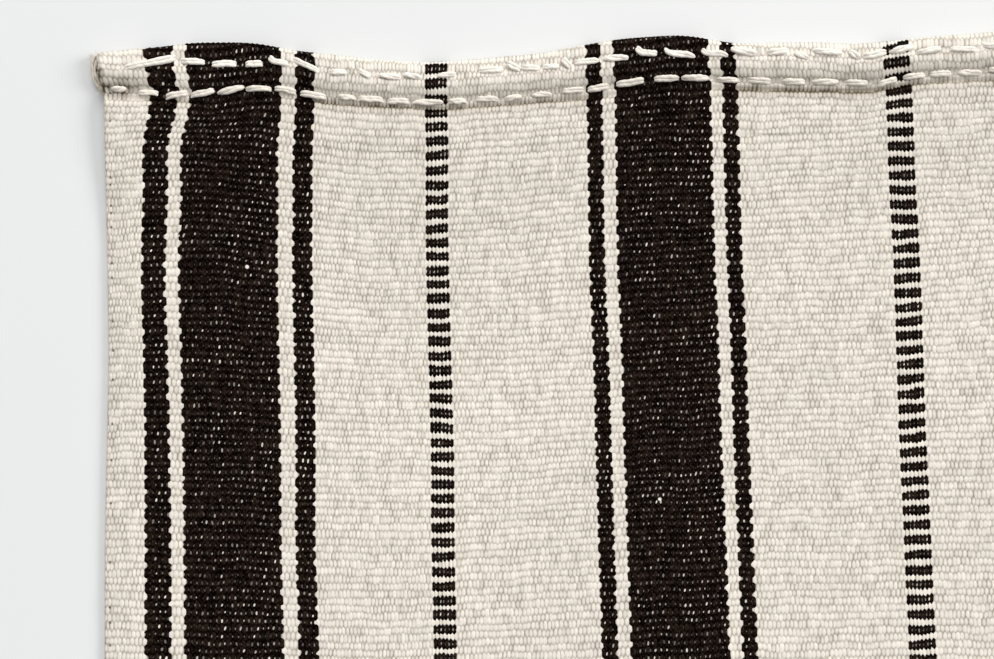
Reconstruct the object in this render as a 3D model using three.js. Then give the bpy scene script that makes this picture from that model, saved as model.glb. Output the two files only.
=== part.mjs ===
// Hemp runner rug: one woven length, turned under twice at each end and sewn down.
// Millimetres. +X runs across the cloth, +Y along its warps, +Z up. The origin is the middle of the underside.
import * as THREE from "three";

// Driving dimensions
const LENGTH = 2400; // folded end to folded end, where each stands out furthest
const WIDTH = 790; // selvedge to selvedge of the flat cloth
const CLOTH = 3; // thickness of the flat cloth

const HEM = {
  depth: 20, // folded end to the lower row of sewing
  layer: 2.6, // thickness of each of the three layers
  gap: 0.4, // between two layers
  upperRow: 0.4, // upper row of sewing, as a share of the depth
  upperPull: 0.3, // how much the upper row thins each layer
  upperWidth: 2.6, // half width of the trough along it
  lowerPull: 0.9, // how much the lower row thins each layer
  lowerWidth: 5, // half width of the trough towards the folded end
  lowerWidthPast: 2.2, // and towards the flat cloth
  turnPast: 1.3, // the lower fold reaches this far past the lower row
  rawFrom: 6.6, // the tucked raw edge stops this far short of the folded end
  rampFrom: 0.7, // past the lower row the cloth lies on the stack for this long
  rise: 0.7, // then it rises by this much
  riseWidth: 2.4,
  fillOut: 6, // is as thick as the flat cloth again after this length
  ramp: 80, // and comes down to the floor over this length
  settle: 260, // the hem's unevenness dies out over this length of cloth
};

// How far each layer of the hem splays past the selvedge at the corners
const SPLAY = { tucked: -2, under: 6, top: 2.6 };
const SPLAY_FROM = 34; // the splay begins this far in from the selvedge
const SPLAY_LENGTH = 9; // past the lower row the splay dies out over this length

const SELVEDGE = {
  round: 1.1, // the cloth thins over this width
  thin: 0.55, // to this share of its thickness
  waves: [
    { length: 640, height: 1.1, turn: 0.6 },
    { length: 235, height: 0.5, turn: 2.1 },
  ],
};

// Grid of the solid
const HEM_PLACES = [0.29, 0.4, 0.53, 0.66, 0.79, 0.9]; // points of every layer, as shares of the depth
const RAMP_PLACES = [1.5, 3.5, 6, 14, 28, 42, 56, 68, 80]; // points of the way down, from where it starts
const NEAR = 0.5; // two points of a layer are never closer than this
const STRIPS = 27; // across the cloth
const BODY_ROWS = 12; // along the flat cloth
const FOLD_STEPS = 7; // round the folded end
const TURN_STEPS = 5; // round the lower fold

// The line of a hem across the cloth: how far its folded end and its lower row of sewing
// lie out (+) or in (-) of a straight line, at each place from the left selvedge
const HEM_LINE = [
  { across: 0, fold: 2.7, sewing: 1.9 },
  { across: 22, fold: 5, sewing: 0.9 },
  { across: 47, fold: 7.3, sewing: -0.4 },
  { across: 72, fold: 6.2, sewing: 1.8 },
  { across: 90, fold: 2.3, sewing: 0.8 },
  { across: 107, fold: 0, sewing: -1.9 },
  { across: 147, fold: -5.1, sewing: -5.7 },
  { across: 163, fold: -5.3, sewing: -6.6 },
  { across: 187, fold: -4.7, sewing: -6 },
  { across: 221, fold: -1.5, sewing: -3.8 },
  { across: 256, fold: 4, sewing: -1.5 },
  { across: 286, fold: 5.4, sewing: 0.8 },
  { across: 315, fold: 1.2, sewing: -0.2 },
  { across: 345, fold: 0.3, sewing: -1.4 },
  { across: 387, fold: -0.4, sewing: -1.8 },
  { across: 442, fold: 3.3, sewing: 2.1 },
  { across: 505, fold: 5.5, sewing: 1.5 },
  { across: 560, fold: -1, sewing: -2.4 },
  { across: 622, fold: -4.8, sewing: -4 },
  { across: 680, fold: 0.5, sewing: -1 },
  { across: 725, fold: 6.2, sewing: 1.6 },
  { across: 760, fold: 3.4, sewing: 1.8 },
  { across: WIDTH, fold: 2, sewing: 1 },
];

// The two ends: which way each points, and whether its line is read from the other selvedge
const ENDS = [
  { side: 1, fromRight: false, share: 1 },
  { side: -1, fromRight: true, share: 0.85 },
];

const clamp01 = (v) => Math.min(1, Math.max(0, v));
const ease = (v) => clamp01(v) ** 2 * (3 - 2 * clamp01(v));
const mix = (a, b, share) => a + (b - a) * share;
const bell = (v) => Math.exp(-v * v);

// A smooth curve through one named column of the hem's line.
function lineOf(column) {
  const places = HEM_LINE.map((row) => row.across);
  const values = HEM_LINE.map((row) => row[column]);
  const curve = new THREE.CubicInterpolant(places, values, 1);
  return (across) => curve.evaluate(across)[0];
}

const foldLine = lineOf("fold");
const sewingLine = lineOf("sewing");
const furthestFold = Math.max(...HEM_LINE.map((row) => row.fold));
const meanLine = -0.4; // of the lower row of sewing

// How far a point of the cloth moves along its warps, for its place x and its distance in from the folded end:
// the hem's line about its mean, which dies out past the hem, and the mean, which dies out at the rug's middle.
function lineShift(end, x, inward) {
  const across = end.fromRight ? WIDTH / 2 - x : WIDTH / 2 + x;
  const held = THREE.MathUtils.clamp(across, 0, WIDTH);
  const shift = mix(foldLine(held), sewingLine(held), clamp01(inward / HEM.depth));
  const settled = 1 - ease((inward - HEM.depth) / HEM.settle);
  const even = (meanLine - furthestFold) * (1 - inward / (LENGTH / 2));
  return end.share * ((shift - meanLine) * settled + even);
}

// Thickness of one layer of the hem, thinner along the two rows of sewing.
function layerAt(inward) {
  const upper = bell((inward - HEM.upperRow * HEM.depth) / HEM.upperWidth);
  const width = inward < HEM.depth ? HEM.lowerWidth : HEM.lowerWidthPast;
  const lower = bell((inward - HEM.depth) / width);
  return HEM.layer - HEM.upperPull * upper - HEM.lowerPull * lower;
}

// Middle height of a layer of the stack: 0 is the one on the floor, 1 the tucked one, 2 the top one.
const layerHeight = (inward, layer) =>
  layer * (layerAt(inward) + HEM.gap) + layerAt(inward) / 2;

// Points of a half circle from one layer's end to the next one's: centre, radius and outward direction.
function halfTurn(centre, height, radius, direction, steps, splays) {
  return Array.from({ length: steps - 1 }, (_, i) => {
    const share = (i + 1) / steps;
    const angle = Math.PI * share;
    return {
      inward: centre + direction * radius * Math.sin(angle),
      z: height + splays.rise * radius * Math.cos(angle),
      thick: splays.thick,
      splay: mix(splays.from, splays.to, share),
    };
  });
}

// Points of one layer of the stack. All layers share their places, so that they stay parallel.
function layerRun(from, to, layer, splay) {
  const low = Math.min(from, to);
  const high = Math.max(from, to);
  const shared = HEM_PLACES.map((share) => share * HEM.depth);
  const between = shared.filter((place) => place > low + NEAR && place < high - NEAR);
  const places = [low, ...between, high];
  const ordered = from < to ? places : places.reverse();
  return ordered.map((inward) => ({
    inward,
    z: layerHeight(inward, layer),
    thick: layerAt(inward),
    splay,
  }));
}

// The middle line of a hem, from its tucked raw edge to the flat cloth:
// the tucked layer, the lower fold, the layer on the floor, the folded end, the top layer and the way down.
function hemPath() {
  const drawnIn = layerAt(HEM.depth);
  const turnRadius = (drawnIn + HEM.gap) / 2;
  const turnCentre = HEM.depth + HEM.turnPast - turnRadius - drawnIn / 2;
  const foldRadius = HEM.layer + HEM.gap;
  const foldCentre = foldRadius + HEM.layer / 2;
  const rampStart = HEM.depth + HEM.rampFrom;
  const top = layerHeight(rampStart, 2);
  const way = RAMP_PLACES.map((past) => {
    const fall = mix(top + HEM.rise, CLOTH / 2, ease(past / HEM.ramp));
    return {
      inward: rampStart + past,
      z: fall - HEM.rise * bell(past / HEM.riseWidth),
      thick: mix(layerAt(rampStart), CLOTH, ease(past / HEM.fillOut)),
      splay: SPLAY.top * (1 - ease(past / SPLAY_LENGTH)),
    };
  });
  const down = { rise: 1, thick: drawnIn, from: SPLAY.tucked, to: SPLAY.under };
  const up = { rise: -1, thick: HEM.layer, from: SPLAY.under, to: SPLAY.top };
  return [
    ...layerRun(HEM.rawFrom, turnCentre, 1, SPLAY.tucked),
    ...halfTurn(turnCentre, layerHeight(turnCentre, 0) + turnRadius, turnRadius, 1, TURN_STEPS, down),
    ...layerRun(turnCentre, foldCentre, 0, SPLAY.under),
    ...halfTurn(foldCentre, HEM.layer / 2 + foldRadius, foldRadius, -1, FOLD_STEPS, up),
    ...layerRun(foldCentre, rampStart, 2, SPLAY.top),
    ...way,
  ];
}

// Adds to each point of a path the direction that the face of the cloth looks, by turning its run a quarter.
function withNormals(path) {
  return path.map((point, i) => {
    const before = path[Math.max(i - 1, 0)];
    const after = path[Math.min(i + 1, path.length - 1)];
    const run = new THREE.Vector2(after.inward - before.inward, after.z - before.z).normalize();
    return { ...point, faceInward: -run.y, faceUp: run.x };
  });
}

// The whole middle line as points with y, from one raw edge over the rug to the other.
function clothPath() {
  const hem = withNormals(hemPath());
  const half = (end) =>
    hem.map((point) => ({
      ...point,
      end,
      y: end.side * (LENGTH / 2 - point.inward),
      faceY: -end.side * point.faceInward,
    }));
  const reach = LENGTH / 2 - hem[hem.length - 1].inward;
  const body = Array.from({ length: BODY_ROWS - 1 }, (_, i) => {
    const y = mix(reach, -reach, (i + 1) / BODY_ROWS);
    const end = y >= 0 ? ENDS[0] : ENDS[1];
    const inward = LENGTH / 2 - Math.abs(y);
    return { inward, z: CLOTH / 2, thick: CLOTH, splay: 0, faceUp: 1, faceY: 0, end, y };
  });
  return [...half(ENDS[0]), ...body, ...half(ENDS[1]).reverse()];
}

// Places across the cloth: even strips, with a narrow one at each selvedge for its rounding.
function stations() {
  const edge = WIDTH / 2;
  const inner = edge - SELVEDGE.round;
  const even = Array.from({ length: STRIPS + 1 }, (_, i) => mix(-inner, inner, i / STRIPS));
  return [-edge, ...even, edge];
}

// How far the selvedge wanders from a straight line at y.
const selvedgeWave = (y) =>
  SELVEDGE.waves.reduce(
    (sum, wave) => sum + wave.height * Math.sin((2 * Math.PI * y) / wave.length + wave.turn),
    0,
  );

// One point of the cloth's face (face = 1) or back (face = -1).
function clothPoint(point, x, face) {
  const fromEdge = WIDTH / 2 - Math.abs(x);
  const thin = mix(SELVEDGE.thin, 1, clamp01(fromEdge / SELVEDGE.round));
  const out = point.splay * ease(1 - fromEdge / SPLAY_FROM);
  const wander = (selvedgeWave(point.y) * x) / (WIDTH / 2) * (1 - Math.abs(point.splay) / SPLAY.under);
  const half = (face * thin * point.thick) / 2;
  return [
    x + Math.sign(x) * out + wander,
    point.y + point.end.side * lineShift(point.end, x, point.inward) + half * point.faceY,
    point.z + half * point.faceUp,
  ];
}

// The closed solid: the face, the back, both selvedges and both raw edges, all as quads of two triangles.
function clothGeometry(path, places) {
  const rows = path.length;
  const columns = places.length;
  const positions = [1, -1].flatMap((face) =>
    path.flatMap((point) => places.flatMap((x) => clothPoint(point, x, face))),
  );
  const corner = (face, row, column) => (face * rows + row) * columns + column;
  const index = [];
  const quad = (a, b, c, d) => index.push(a, b, c, a, c, d);
  for (let r = 0; r < rows - 1; r += 1) {
    for (let c = 0; c < columns - 1; c += 1) {
      quad(corner(0, r, c), corner(0, r + 1, c), corner(0, r + 1, c + 1), corner(0, r, c + 1));
      quad(corner(1, r, c), corner(1, r, c + 1), corner(1, r + 1, c + 1), corner(1, r + 1, c));
    }
    const last = columns - 1;
    quad(corner(0, r, 0), corner(1, r, 0), corner(1, r + 1, 0), corner(0, r + 1, 0));
    quad(corner(0, r, last), corner(0, r + 1, last), corner(1, r + 1, last), corner(1, r, last));
  }
  for (let c = 0; c < columns - 1; c += 1) {
    const last = rows - 1;
    quad(corner(0, 0, c), corner(0, 0, c + 1), corner(1, 0, c + 1), corner(1, 0, c));
    quad(corner(0, last, c), corner(1, last, c), corner(1, last, c + 1), corner(0, last, c + 1));
  }
  const geometry = new THREE.BufferGeometry();
  geometry.setAttribute("position", new THREE.Float32BufferAttribute(positions, 3));
  geometry.setIndex(index);
  geometry.computeVertexNormals();
  return geometry;
}

const hemp = new THREE.MeshStandardMaterial({ color: 0xe6ddce, roughness: 0.95, metalness: 0 });

const cloth = new THREE.Mesh(clothGeometry(clothPath(), stations()), hemp);
cloth.name = "rug_cloth";

const group = new THREE.Group();
group.add(cloth);

export default group;
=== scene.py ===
"""Hemp runner rug: warp-faced cloth with black-brown stripes, its two ends turned under twice and sewn by hand.

Sizes are in millimetres until a mesh is made. +X runs across the cloth, +Y along its warps, +Z up.
The cloth carries a UV map named weave: u is millimetres across from the middle, v counts picks.
"""
import logging
import math
from dataclasses import dataclass, field, fields
from enum import Enum

import bpy
import numpy as np
from mathutils import Matrix, Vector


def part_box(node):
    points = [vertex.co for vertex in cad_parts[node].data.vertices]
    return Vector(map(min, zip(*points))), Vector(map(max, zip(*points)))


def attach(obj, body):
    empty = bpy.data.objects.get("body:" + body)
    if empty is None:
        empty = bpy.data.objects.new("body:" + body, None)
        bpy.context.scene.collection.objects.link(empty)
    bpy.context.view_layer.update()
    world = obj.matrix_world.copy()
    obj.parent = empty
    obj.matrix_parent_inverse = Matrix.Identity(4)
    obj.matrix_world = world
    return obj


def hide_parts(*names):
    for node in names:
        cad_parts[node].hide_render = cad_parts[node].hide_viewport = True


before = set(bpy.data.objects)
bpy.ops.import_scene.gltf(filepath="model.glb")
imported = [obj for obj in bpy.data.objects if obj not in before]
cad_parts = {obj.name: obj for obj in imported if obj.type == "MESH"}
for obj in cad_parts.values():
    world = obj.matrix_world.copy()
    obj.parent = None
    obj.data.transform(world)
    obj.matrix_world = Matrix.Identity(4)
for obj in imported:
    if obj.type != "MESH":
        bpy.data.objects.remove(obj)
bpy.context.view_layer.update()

MM = 0.001
NODE = "rug_cloth"
WEAVE_UV = "weave"
YARN_UV = "yarn"
# Point attribute of soil and painted light: soil and painted shade above zero, a painted highlight below zero.
SOIL_AND_PAINTED_LIGHT = "soil_and_painted_light"

LOW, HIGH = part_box(NODE)
LENGTH = round((HIGH.y - LOW.y) / MM)  # folded end to folded end
WIDTH = 790.0  # selvedge to selvedge of the flat cloth
CLOTH = 3.0  # thickness of the flat cloth
PITCH = 3.65  # from one pick to the next

log = logging.getLogger("hemp_rug")


def ease(value: np.ndarray) -> np.ndarray:
    """Soft step: 3t^2 - 2t^3 with t the value held between 0 and 1."""
    held = np.clip(value, 0.0, 1.0)
    return held * held * (3.0 - 2.0 * held)


def mix(start: np.ndarray, end: np.ndarray, share: np.ndarray) -> np.ndarray:
    """Straight blend from start to end."""
    return start + (end - start) * share


def bell(value: np.ndarray) -> np.ndarray:
    """Bell curve: e to the power of minus the square."""
    return np.exp(-value * value)


def smooth_line(places: np.ndarray, values: np.ndarray, at: np.ndarray) -> np.ndarray:
    """Reads a smooth curve through the points of a short table.

    On each stretch it is the Hermite cubic of the two values and of the slopes there, and a slope is
    the central difference over the neighbouring points.

    Args:
        places: rising places of the points.
        values: their values.
        at: where to read the curve.

    Returns:
        The curve's values, in the shape of at.
    """
    slopes = np.gradient(values, places)
    i = np.clip(np.searchsorted(places, at, side="right") - 1, 0, len(places) - 2)
    width = places[i + 1] - places[i]
    t = (at - places[i]) / width
    from_values = values[i] * (2 * t**3 - 3 * t**2 + 1) + values[i + 1] * (3 * t**2 - 2 * t**3)
    from_slopes = slopes[i] * (t**3 - 2 * t**2 + t) + slopes[i + 1] * (t**3 - t**2)
    return from_values + width * from_slopes


class Yarn(Enum):
    """Which warp yarn a stripe is made of."""

    WHITE = "white"
    BLACK = "black"
    LADDER = "ladder"  # black and white ends by turns


class End(Enum):
    """The two ends of the rug. The value is the direction that each points along Y."""

    FAR = 1
    NEAR = -1


class Row(Enum):
    """The two rows of sewing at each end."""

    UPPER = "upper"
    LOWER = "lower"


WHITE_PITCH = 0.984  # width of one white end


@dataclass(frozen=True)
class Stripe:
    """A group of neighbouring warps: how many ends, how wide they lie, and their yarn."""

    ends: int
    width: float
    yarn: Yarn


def white(ends: int, pitch: float = WHITE_PITCH) -> Stripe:
    """A white stripe of that many ends."""
    return Stripe(ends, ends * pitch, Yarn.WHITE)


# From the left selvedge to the middle of the cloth. The other half mirrors it.
HALF_PLAN = (
    white(20),
    Stripe(8, 12.0, Yarn.BLACK),
    white(6, 1.12),
    Stripe(36, 46.6, Yarn.BLACK),
    white(7, 1.11),
    Stripe(7, 9.0, Yarn.BLACK),
    white(60, 0.94),
    Stripe(12, 11.3, Yarn.LADDER),
    white(71, 0.99),
    Stripe(6, 7.2, Yarn.BLACK),
    white(6, 1.12),
    Stripe(38, 47.6, Yarn.BLACK),
    white(6, 1.05),
    Stripe(5, 7.1, Yarn.BLACK),
    white(70, 1.053),
    Stripe(7, 6.6, Yarn.LADDER),
)


@dataclass(frozen=True)
class Band:
    """A dark stripe, measured from the middle of the cloth, in millimetres and in ends."""

    near: float
    far: float
    first: int
    last: int
    yarn: Yarn


def bands() -> list[Band]:
    """Lists the dark stripes of one half.

    Returns:
        The bands, from the middle outwards.
    """
    found, place, count = [], 0.0, 0
    for stripe in reversed(HALF_PLAN):
        if stripe.yarn is not Yarn.WHITE:
            found.append(Band(place, place + stripe.width, count, count + stripe.ends, stripe.yarn))
        place += stripe.width
        count += stripe.ends
    return found


def ends_at(x: np.ndarray) -> np.ndarray:
    """Counts ends from the middle of the cloth out to a place across, with its sign."""
    stripes = list(reversed(HALF_PLAN))
    places = np.concatenate([[0.0], np.cumsum([stripe.width for stripe in stripes])])
    counts = np.concatenate([[0], np.cumsum([stripe.ends for stripe in stripes])])
    return np.sign(x) * np.interp(np.abs(x), places, counts)


@dataclass(frozen=True)
class HemSize:
    """Sizes of a hem: three layers of the cloth, turned under twice."""

    depth: float = 20.0  # folded end to the lower row of sewing
    layer: float = 2.6
    gap: float = 0.4
    upper_row: float = 0.4  # as a share of the depth
    upper_pull: float = 0.3  # how much a row of sewing thins each layer
    upper_width: float = 2.6
    lower_pull: float = 0.9
    lower_width: float = 5.0  # of the trough towards the folded end
    lower_width_past: float = 2.2  # and towards the flat cloth
    turn_past: float = 1.3
    raw_from: float = 6.6
    ramp_from: float = 0.7
    rise: float = 0.7  # past the lower row, before the cloth falls to the floor
    rise_width: float = 2.4
    fill_out: float = 6.0  # the cloth is as thick as elsewhere again after this length
    ramp: float = 80.0
    splay_tucked: float = -2.0
    splay_foot: float = 1.5  # of the layer on the floor, by the lower row of sewing
    splay_under: float = 6.0  # and at the folded end
    splay_top: float = 2.0  # of the top layer at the folded end
    splay_row: float = -0.5  # and by the lower row of sewing
    splay_from: float = 34.0
    splay_length: float = 9.0

    def layer_at(self, inward: np.ndarray) -> np.ndarray:
        """Thickness of one layer: the plain one less a bell at each row of sewing."""
        upper = bell((inward - self.upper_row * self.depth) / self.upper_width)
        width = np.where(inward < self.depth, self.lower_width, self.lower_width_past)
        return self.layer - self.upper_pull * upper - self.lower_pull * bell((inward - self.depth) / width)

    def layer_height(self, inward: np.ndarray, layer: int) -> np.ndarray:
        """Middle height of a layer: 0 lies on the floor, 1 is the tucked one, 2 the top one."""
        return layer * (self.layer_at(inward) + self.gap) + self.layer_at(inward) / 2


# How far the picks lie out (+) or in (-) of straight lines, at each place from the left selvedge: along the
# folded end, along the lower row of sewing, and at some distances past it.
LINES_AT = np.array([0.0, 20.0, 50.0, 80.0, 120.0, 180.0, 250.0])
LINES = np.array(
    [
        # across, then the lines
        (0, 2.5, 2.0, 2.0, 3.0, 3.0, 3.0, 2.5),
        (22, 5.0, 1.0, 3.5, 3.5, 3.5, 3.0, 1.5),
        (47, 7.5, -0.5, 3.0, 4.0, 3.0, 2.0, 0.5),
        (72, 6.0, 2.0, 1.5, 1.5, 1.5, 0.5, 0.0),
        (90, 2.5, 1.0, -1.5, -1.5, -1.0, -1.0, -1.5),
        (107, 0.0, -2.0, -3.5, -3.5, -3.0, -2.0, -3.0),
        (147, -5.0, -5.5, -7.0, -7.0, -6.0, -4.0, -4.0),
        (163, -5.5, -6.5, -6.5, -7.0, -6.0, -4.5, -4.0),
        (187, -4.5, -6.0, -5.5, -6.5, -6.0, -5.0, -3.5),
        (221, -1.5, -4.0, -3.5, -3.5, -4.5, -4.5, -2.0),
        (256, 4.0, -1.5, -1.0, -1.5, -3.0, -3.0, -1.0),
        (286, 5.5, 1.0, -0.5, -1.5, -1.5, -2.0, -0.5),
        (315, 1.0, 0.0, -2.0, -2.0, -1.0, -1.0, -0.5),
        (345, 0.5, -1.5, -2.0, -1.0, -1.5, -0.5, -1.0),
        (387, -0.5, -2.0, 0.0, 0.0, -1.0, -0.5, -1.0),
        (400, 0.5, 0.0, 0.5, 0.5, -0.5, 0.0, -1.0),
        (442, 3.5, 2.0, 1.5, 1.5, 2.5, 0.5, -1.0),
        (505, 5.5, 1.5, 2.0, 2.0, 1.5, 1.0, 0.5),
        (560, -1.0, -2.5, -2.0, -1.5, -1.0, -0.5, 0.0),
        (622, -5.0, -4.0, -4.5, -4.5, -3.5, -2.5, -1.5),
        (680, 0.5, -1.0, -1.5, -2.0, -2.0, -1.5, -1.0),
        (725, 6.0, 1.5, 1.5, 1.0, 0.5, 0.0, 0.0),
        (760, 3.5, 2.0, 2.5, 2.5, 2.0, 1.5, 1.0),
        (790, 2.0, 1.0, 2.5, 3.0, 2.5, 2.0, 1.5),
    ]
)
MEAN_LINE = -0.4
LINES_END = 400.0
LINE_SHARE = {End.FAR: 1.0, End.NEAR: 0.85}
FIRST_PICK = 2 / 3  # what is left of the pick that the raw edge cuts

# How far the warps stray along X near the far left corner. Each row is a distance in from the folded
# end, and each column a place across from the left selvedge.
STRAY_PLACES = np.array([0, 26, 62, 98, 165, 275, 395, 520])
STRAY = np.array(
    [
        # in, then the stray at each place
        (0, 0.0, 3.0, 3.0, 3.5, 1.5, -0.5, -2.0, 0.0),
        (14, 0.0, 5.0, 4.0, 3.5, 1.0, 0.0, -1.5, 0.0),
        (18, 0.5, 6.5, 4.0, 3.0, 1.0, 0.5, -1.0, 0.0),
        (22, 0.5, 5.5, 4.0, 3.0, 1.0, 0.5, -1.0, 0.0),
        (31, 1.0, 4.5, 3.5, 3.0, 1.0, 0.0, -1.0, 0.0),
        (43, 1.0, 1.5, 1.5, 2.0, 1.0, 0.0, -1.0, 0.0),
        (76, 1.0, -0.5, 0.5, 1.0, 0.0, -0.5, -1.0, 0.0),
        (110, 1.0, -2.5, -1.0, 0.0, -0.5, -1.0, -0.5, 0.0),
        (150, 1.0, -2.0, -1.0, 0.0, -0.5, -0.5, -1.0, 0.0),
        (200, 0.5, -0.5, 0.0, 0.5, 0.0, -0.5, -1.5, 0.0),
        (240, 0.5, 0.5, 1.0, 0.5, 0.0, 0.0, -1.5, 0.0),
        (290, 1.0, 1.0, 2.0, 2.0, 0.5, 0.5, -1.5, 0.0),
        (420, 0.0, 0.0, 0.0, 0.0, 0.0, 0.0, 0.0, 0.0),
    ]
)


# How dark the groove past the lower row of sewing is painted, with soil and painted shade: across from the left
# selvedge, then the strength.
GROOVE = 22.9
GROOVE_SOIL_AND_SHADE = (
    (0, 0.0), (16, 0.1), (28, 0.6), (33, 0.4), (94, 0.4), (104, 0.9), (160, 0.8), (210, 0.8), (238, 0.7),
    (248, 0.4), (306, 0.4), (318, 1.1), (380, 1.1), (400, 0.7), (440, 0.7), (500, 0.8), (790, 0.7),
)
# Painted shade in pits on the hem: across, in from the folded end, radius.
SHADED_PITS = ((11.2, 19.0, 1.9), (10.3, 15.8, 1.2), (1.5, 15.6, 1.2), (0.0, 18.5, 1.6))


@dataclass
class Path:
    """Points of the cloth's middle line, as columns of one length."""

    inward: np.ndarray  # distance in from the folded end
    z: np.ndarray
    thick: np.ndarray
    splay: np.ndarray  # how far a layer of the hem stands past the selvedge
    y: np.ndarray
    face_y: np.ndarray  # the direction that the face of the cloth looks
    face_z: np.ndarray
    arc: np.ndarray  # running length

    def at(self, arc: np.ndarray) -> "Path":
        """Reads every column at other running lengths, by straight interpolation."""
        return Path(*(np.interp(arc, self.arc, getattr(self, f.name)) for f in fields(self)))

    def part(self, rows: slice) -> "Path":
        """Takes some of the points."""
        return Path(*(getattr(self, f.name)[rows] for f in fields(self)))


class ClothForm:
    """The shape of the lying cloth: where a place on it is, for its place across and its running length."""

    step = 0.2  # of the closely sampled middle line
    turn_steps = 40
    denser_from = 85.0  # past the hem's way down, half a pick more is beaten in over the next stretch
    denser_over = 60.0

    def __init__(self, hem: HemSize) -> None:
        """Works out the middle line from one raw edge to the other."""
        self.hem = hem
        self.path = self._whole_path()
        self.total = float(self.path.arc[-1])
        self.picks = round(self.total / PITCH)
        self.pitch = self.total / self.picks

    def _run(self, start: float, end: float, layer: int, splays: tuple) -> np.ndarray:
        """Columns inward, z, thick, splay along one layer of the hem."""
        count = max(3, round(abs(end - start) / self.step))
        inward = np.linspace(start, end, count)
        height = self.hem.layer_height(inward, layer)
        splay = mix(*splays, np.linspace(0, 1, count) ** 2)
        return np.stack([inward, height, self.hem.layer_at(inward), splay])

    def _turn(self, centre: float, height: float, radius: float, way: int, splays: tuple, thick: float) -> np.ndarray:
        """Columns of a half circle: inward = centre + way r sin a, z = height -+ r cos a, a from 0 to 180."""
        share = np.linspace(0, 1, self.turn_steps)[1:-1]
        angle = math.pi * share
        return np.stack(
            [
                centre + way * radius * np.sin(angle),
                height + way * radius * np.cos(angle),
                np.full(share.shape, thick),
                mix(splays[0], splays[1], share),
            ]
        )

    def _hem_path(self) -> Path:
        """The middle line of one hem: the tucked layer, the lower fold, the layer on the floor, the
        folded end, the top layer and the way down to the flat cloth.

        Returns:
            Its points, with y as if the folded end lay at 0 and the cloth ran towards -Y.
        """
        h = self.hem
        drawn_in = float(h.layer_at(np.array(h.depth)))
        turn_radius = (drawn_in + h.gap) / 2
        turn_centre = h.depth + h.turn_past - turn_radius - drawn_in / 2
        fold_radius = h.layer + h.gap
        self.fold_centre = fold_radius + h.layer / 2
        ramp_start = h.depth + h.ramp_from
        self.ramp_end = ramp_start + h.ramp
        past = np.linspace(0, h.ramp, round(h.ramp / self.step))[1:]
        top = h.layer_height(np.array(ramp_start), 2)
        way_down = np.stack(
            [
                ramp_start + past,
                mix(top + h.rise, CLOTH / 2, ease(past / h.ramp)) - h.rise * bell(past / h.rise_width),
                mix(h.layer_at(np.array(ramp_start)), CLOTH, ease(past / h.fill_out)),
                h.splay_row * (1 - ease(past / h.splay_length)),
            ]
        )
        lower_height = float(h.layer_height(np.array(turn_centre), 0)) + turn_radius
        columns = np.hstack(
            [
                self._run(h.raw_from, turn_centre, 1, (h.splay_tucked, h.splay_tucked)),
                self._turn(turn_centre, lower_height, turn_radius, 1, (h.splay_tucked, h.splay_foot), drawn_in),
                self._run(turn_centre, self.fold_centre, 0, (h.splay_foot, h.splay_under)),
                self._turn(
                    self.fold_centre, h.layer / 2 + fold_radius, fold_radius, -1, (h.splay_under, h.splay_top), h.layer
                ),
                self._run(self.fold_centre, ramp_start, 2, (h.splay_top, h.splay_row)),
                way_down,
            ]
        )
        inward, z, thick, splay = columns
        run_in, run_up = np.gradient(inward), np.gradient(z)
        length = np.hypot(run_in, run_up)
        arc = np.concatenate([[0.0], np.cumsum(np.hypot(np.diff(inward), np.diff(z)))])
        return Path(inward, z, thick, splay, -inward, run_up / length, run_in / length, arc)

    def _whole_path(self) -> Path:
        """Both hems and the flat cloth between them, from the far raw edge to the near one."""
        hem = self._hem_path()
        self.hem_arc = float(hem.arc[-1])
        flat = LENGTH - 2 * self.ramp_end
        total = 2 * self.hem_arc + flat
        middle = np.linspace(0, flat, 400)[1:-1]
        y = LENGTH / 2 - self.ramp_end - middle
        ones = np.ones(middle.shape)
        body = Path(
            LENGTH / 2 - np.abs(y), ones * CLOTH / 2, ones * CLOTH, 0 * ones, y, 0 * ones, ones,
            self.hem_arc + middle,
        )
        far = Path(hem.inward, hem.z, hem.thick, hem.splay, LENGTH / 2 - hem.inward, hem.face_y, hem.face_z, hem.arc)
        near = Path(
            hem.inward[::-1], hem.z[::-1], hem.thick[::-1], hem.splay[::-1],
            hem.inward[::-1] - LENGTH / 2, -hem.face_y[::-1], hem.face_z[::-1], total - hem.arc[::-1],
        )
        self.top_arcs = self._top_arcs(hem)
        return Path(
            *(
                np.concatenate([getattr(far, f.name), getattr(body, f.name), getattr(near, f.name)])
                for f in fields(Path)
            )
        )

    def _top_arcs(self, hem: Path) -> tuple[np.ndarray, np.ndarray]:
        """Places of the top layer, from the outermost point of the folded end on, and their running lengths."""
        first = int(np.argmin(hem.inward))
        return hem.inward[first:], hem.arc[first:]

    def arc_on_top(self, inward: np.ndarray, end: End) -> np.ndarray:
        """Running length at a distance in from the folded end, on the top layer of that end's hem."""
        arc = np.interp(inward, *self.top_arcs)
        return arc if end is End.FAR else self.total - arc

    def _lines(self, x: np.ndarray, path: Path, inward: np.ndarray) -> np.ndarray:
        """Reads the table of lines: a smooth curve across, and a smooth one from line to line.

        Args:
            x: places across.
            path: the middle line's points, one per row.
            inward: where to read it, one per row.

        Returns:
            How far the picks lie out, rows by columns.
        """
        side = np.where(path.y >= 0, 1.0, -1.0)[:, None]
        across = np.clip(WIDTH / 2 + side * x, 0, WIDTH)
        held = np.clip(inward, 0, LINES_AT[-1])
        total = np.zeros(across.shape)
        for line, values in zip(np.eye(len(LINES_AT)), LINES.T[1:]):
            share = smooth_line(LINES_AT, line, held)[:, None]
            total += share * smooth_line(LINES[:, 0], values, across)
        return total

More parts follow.
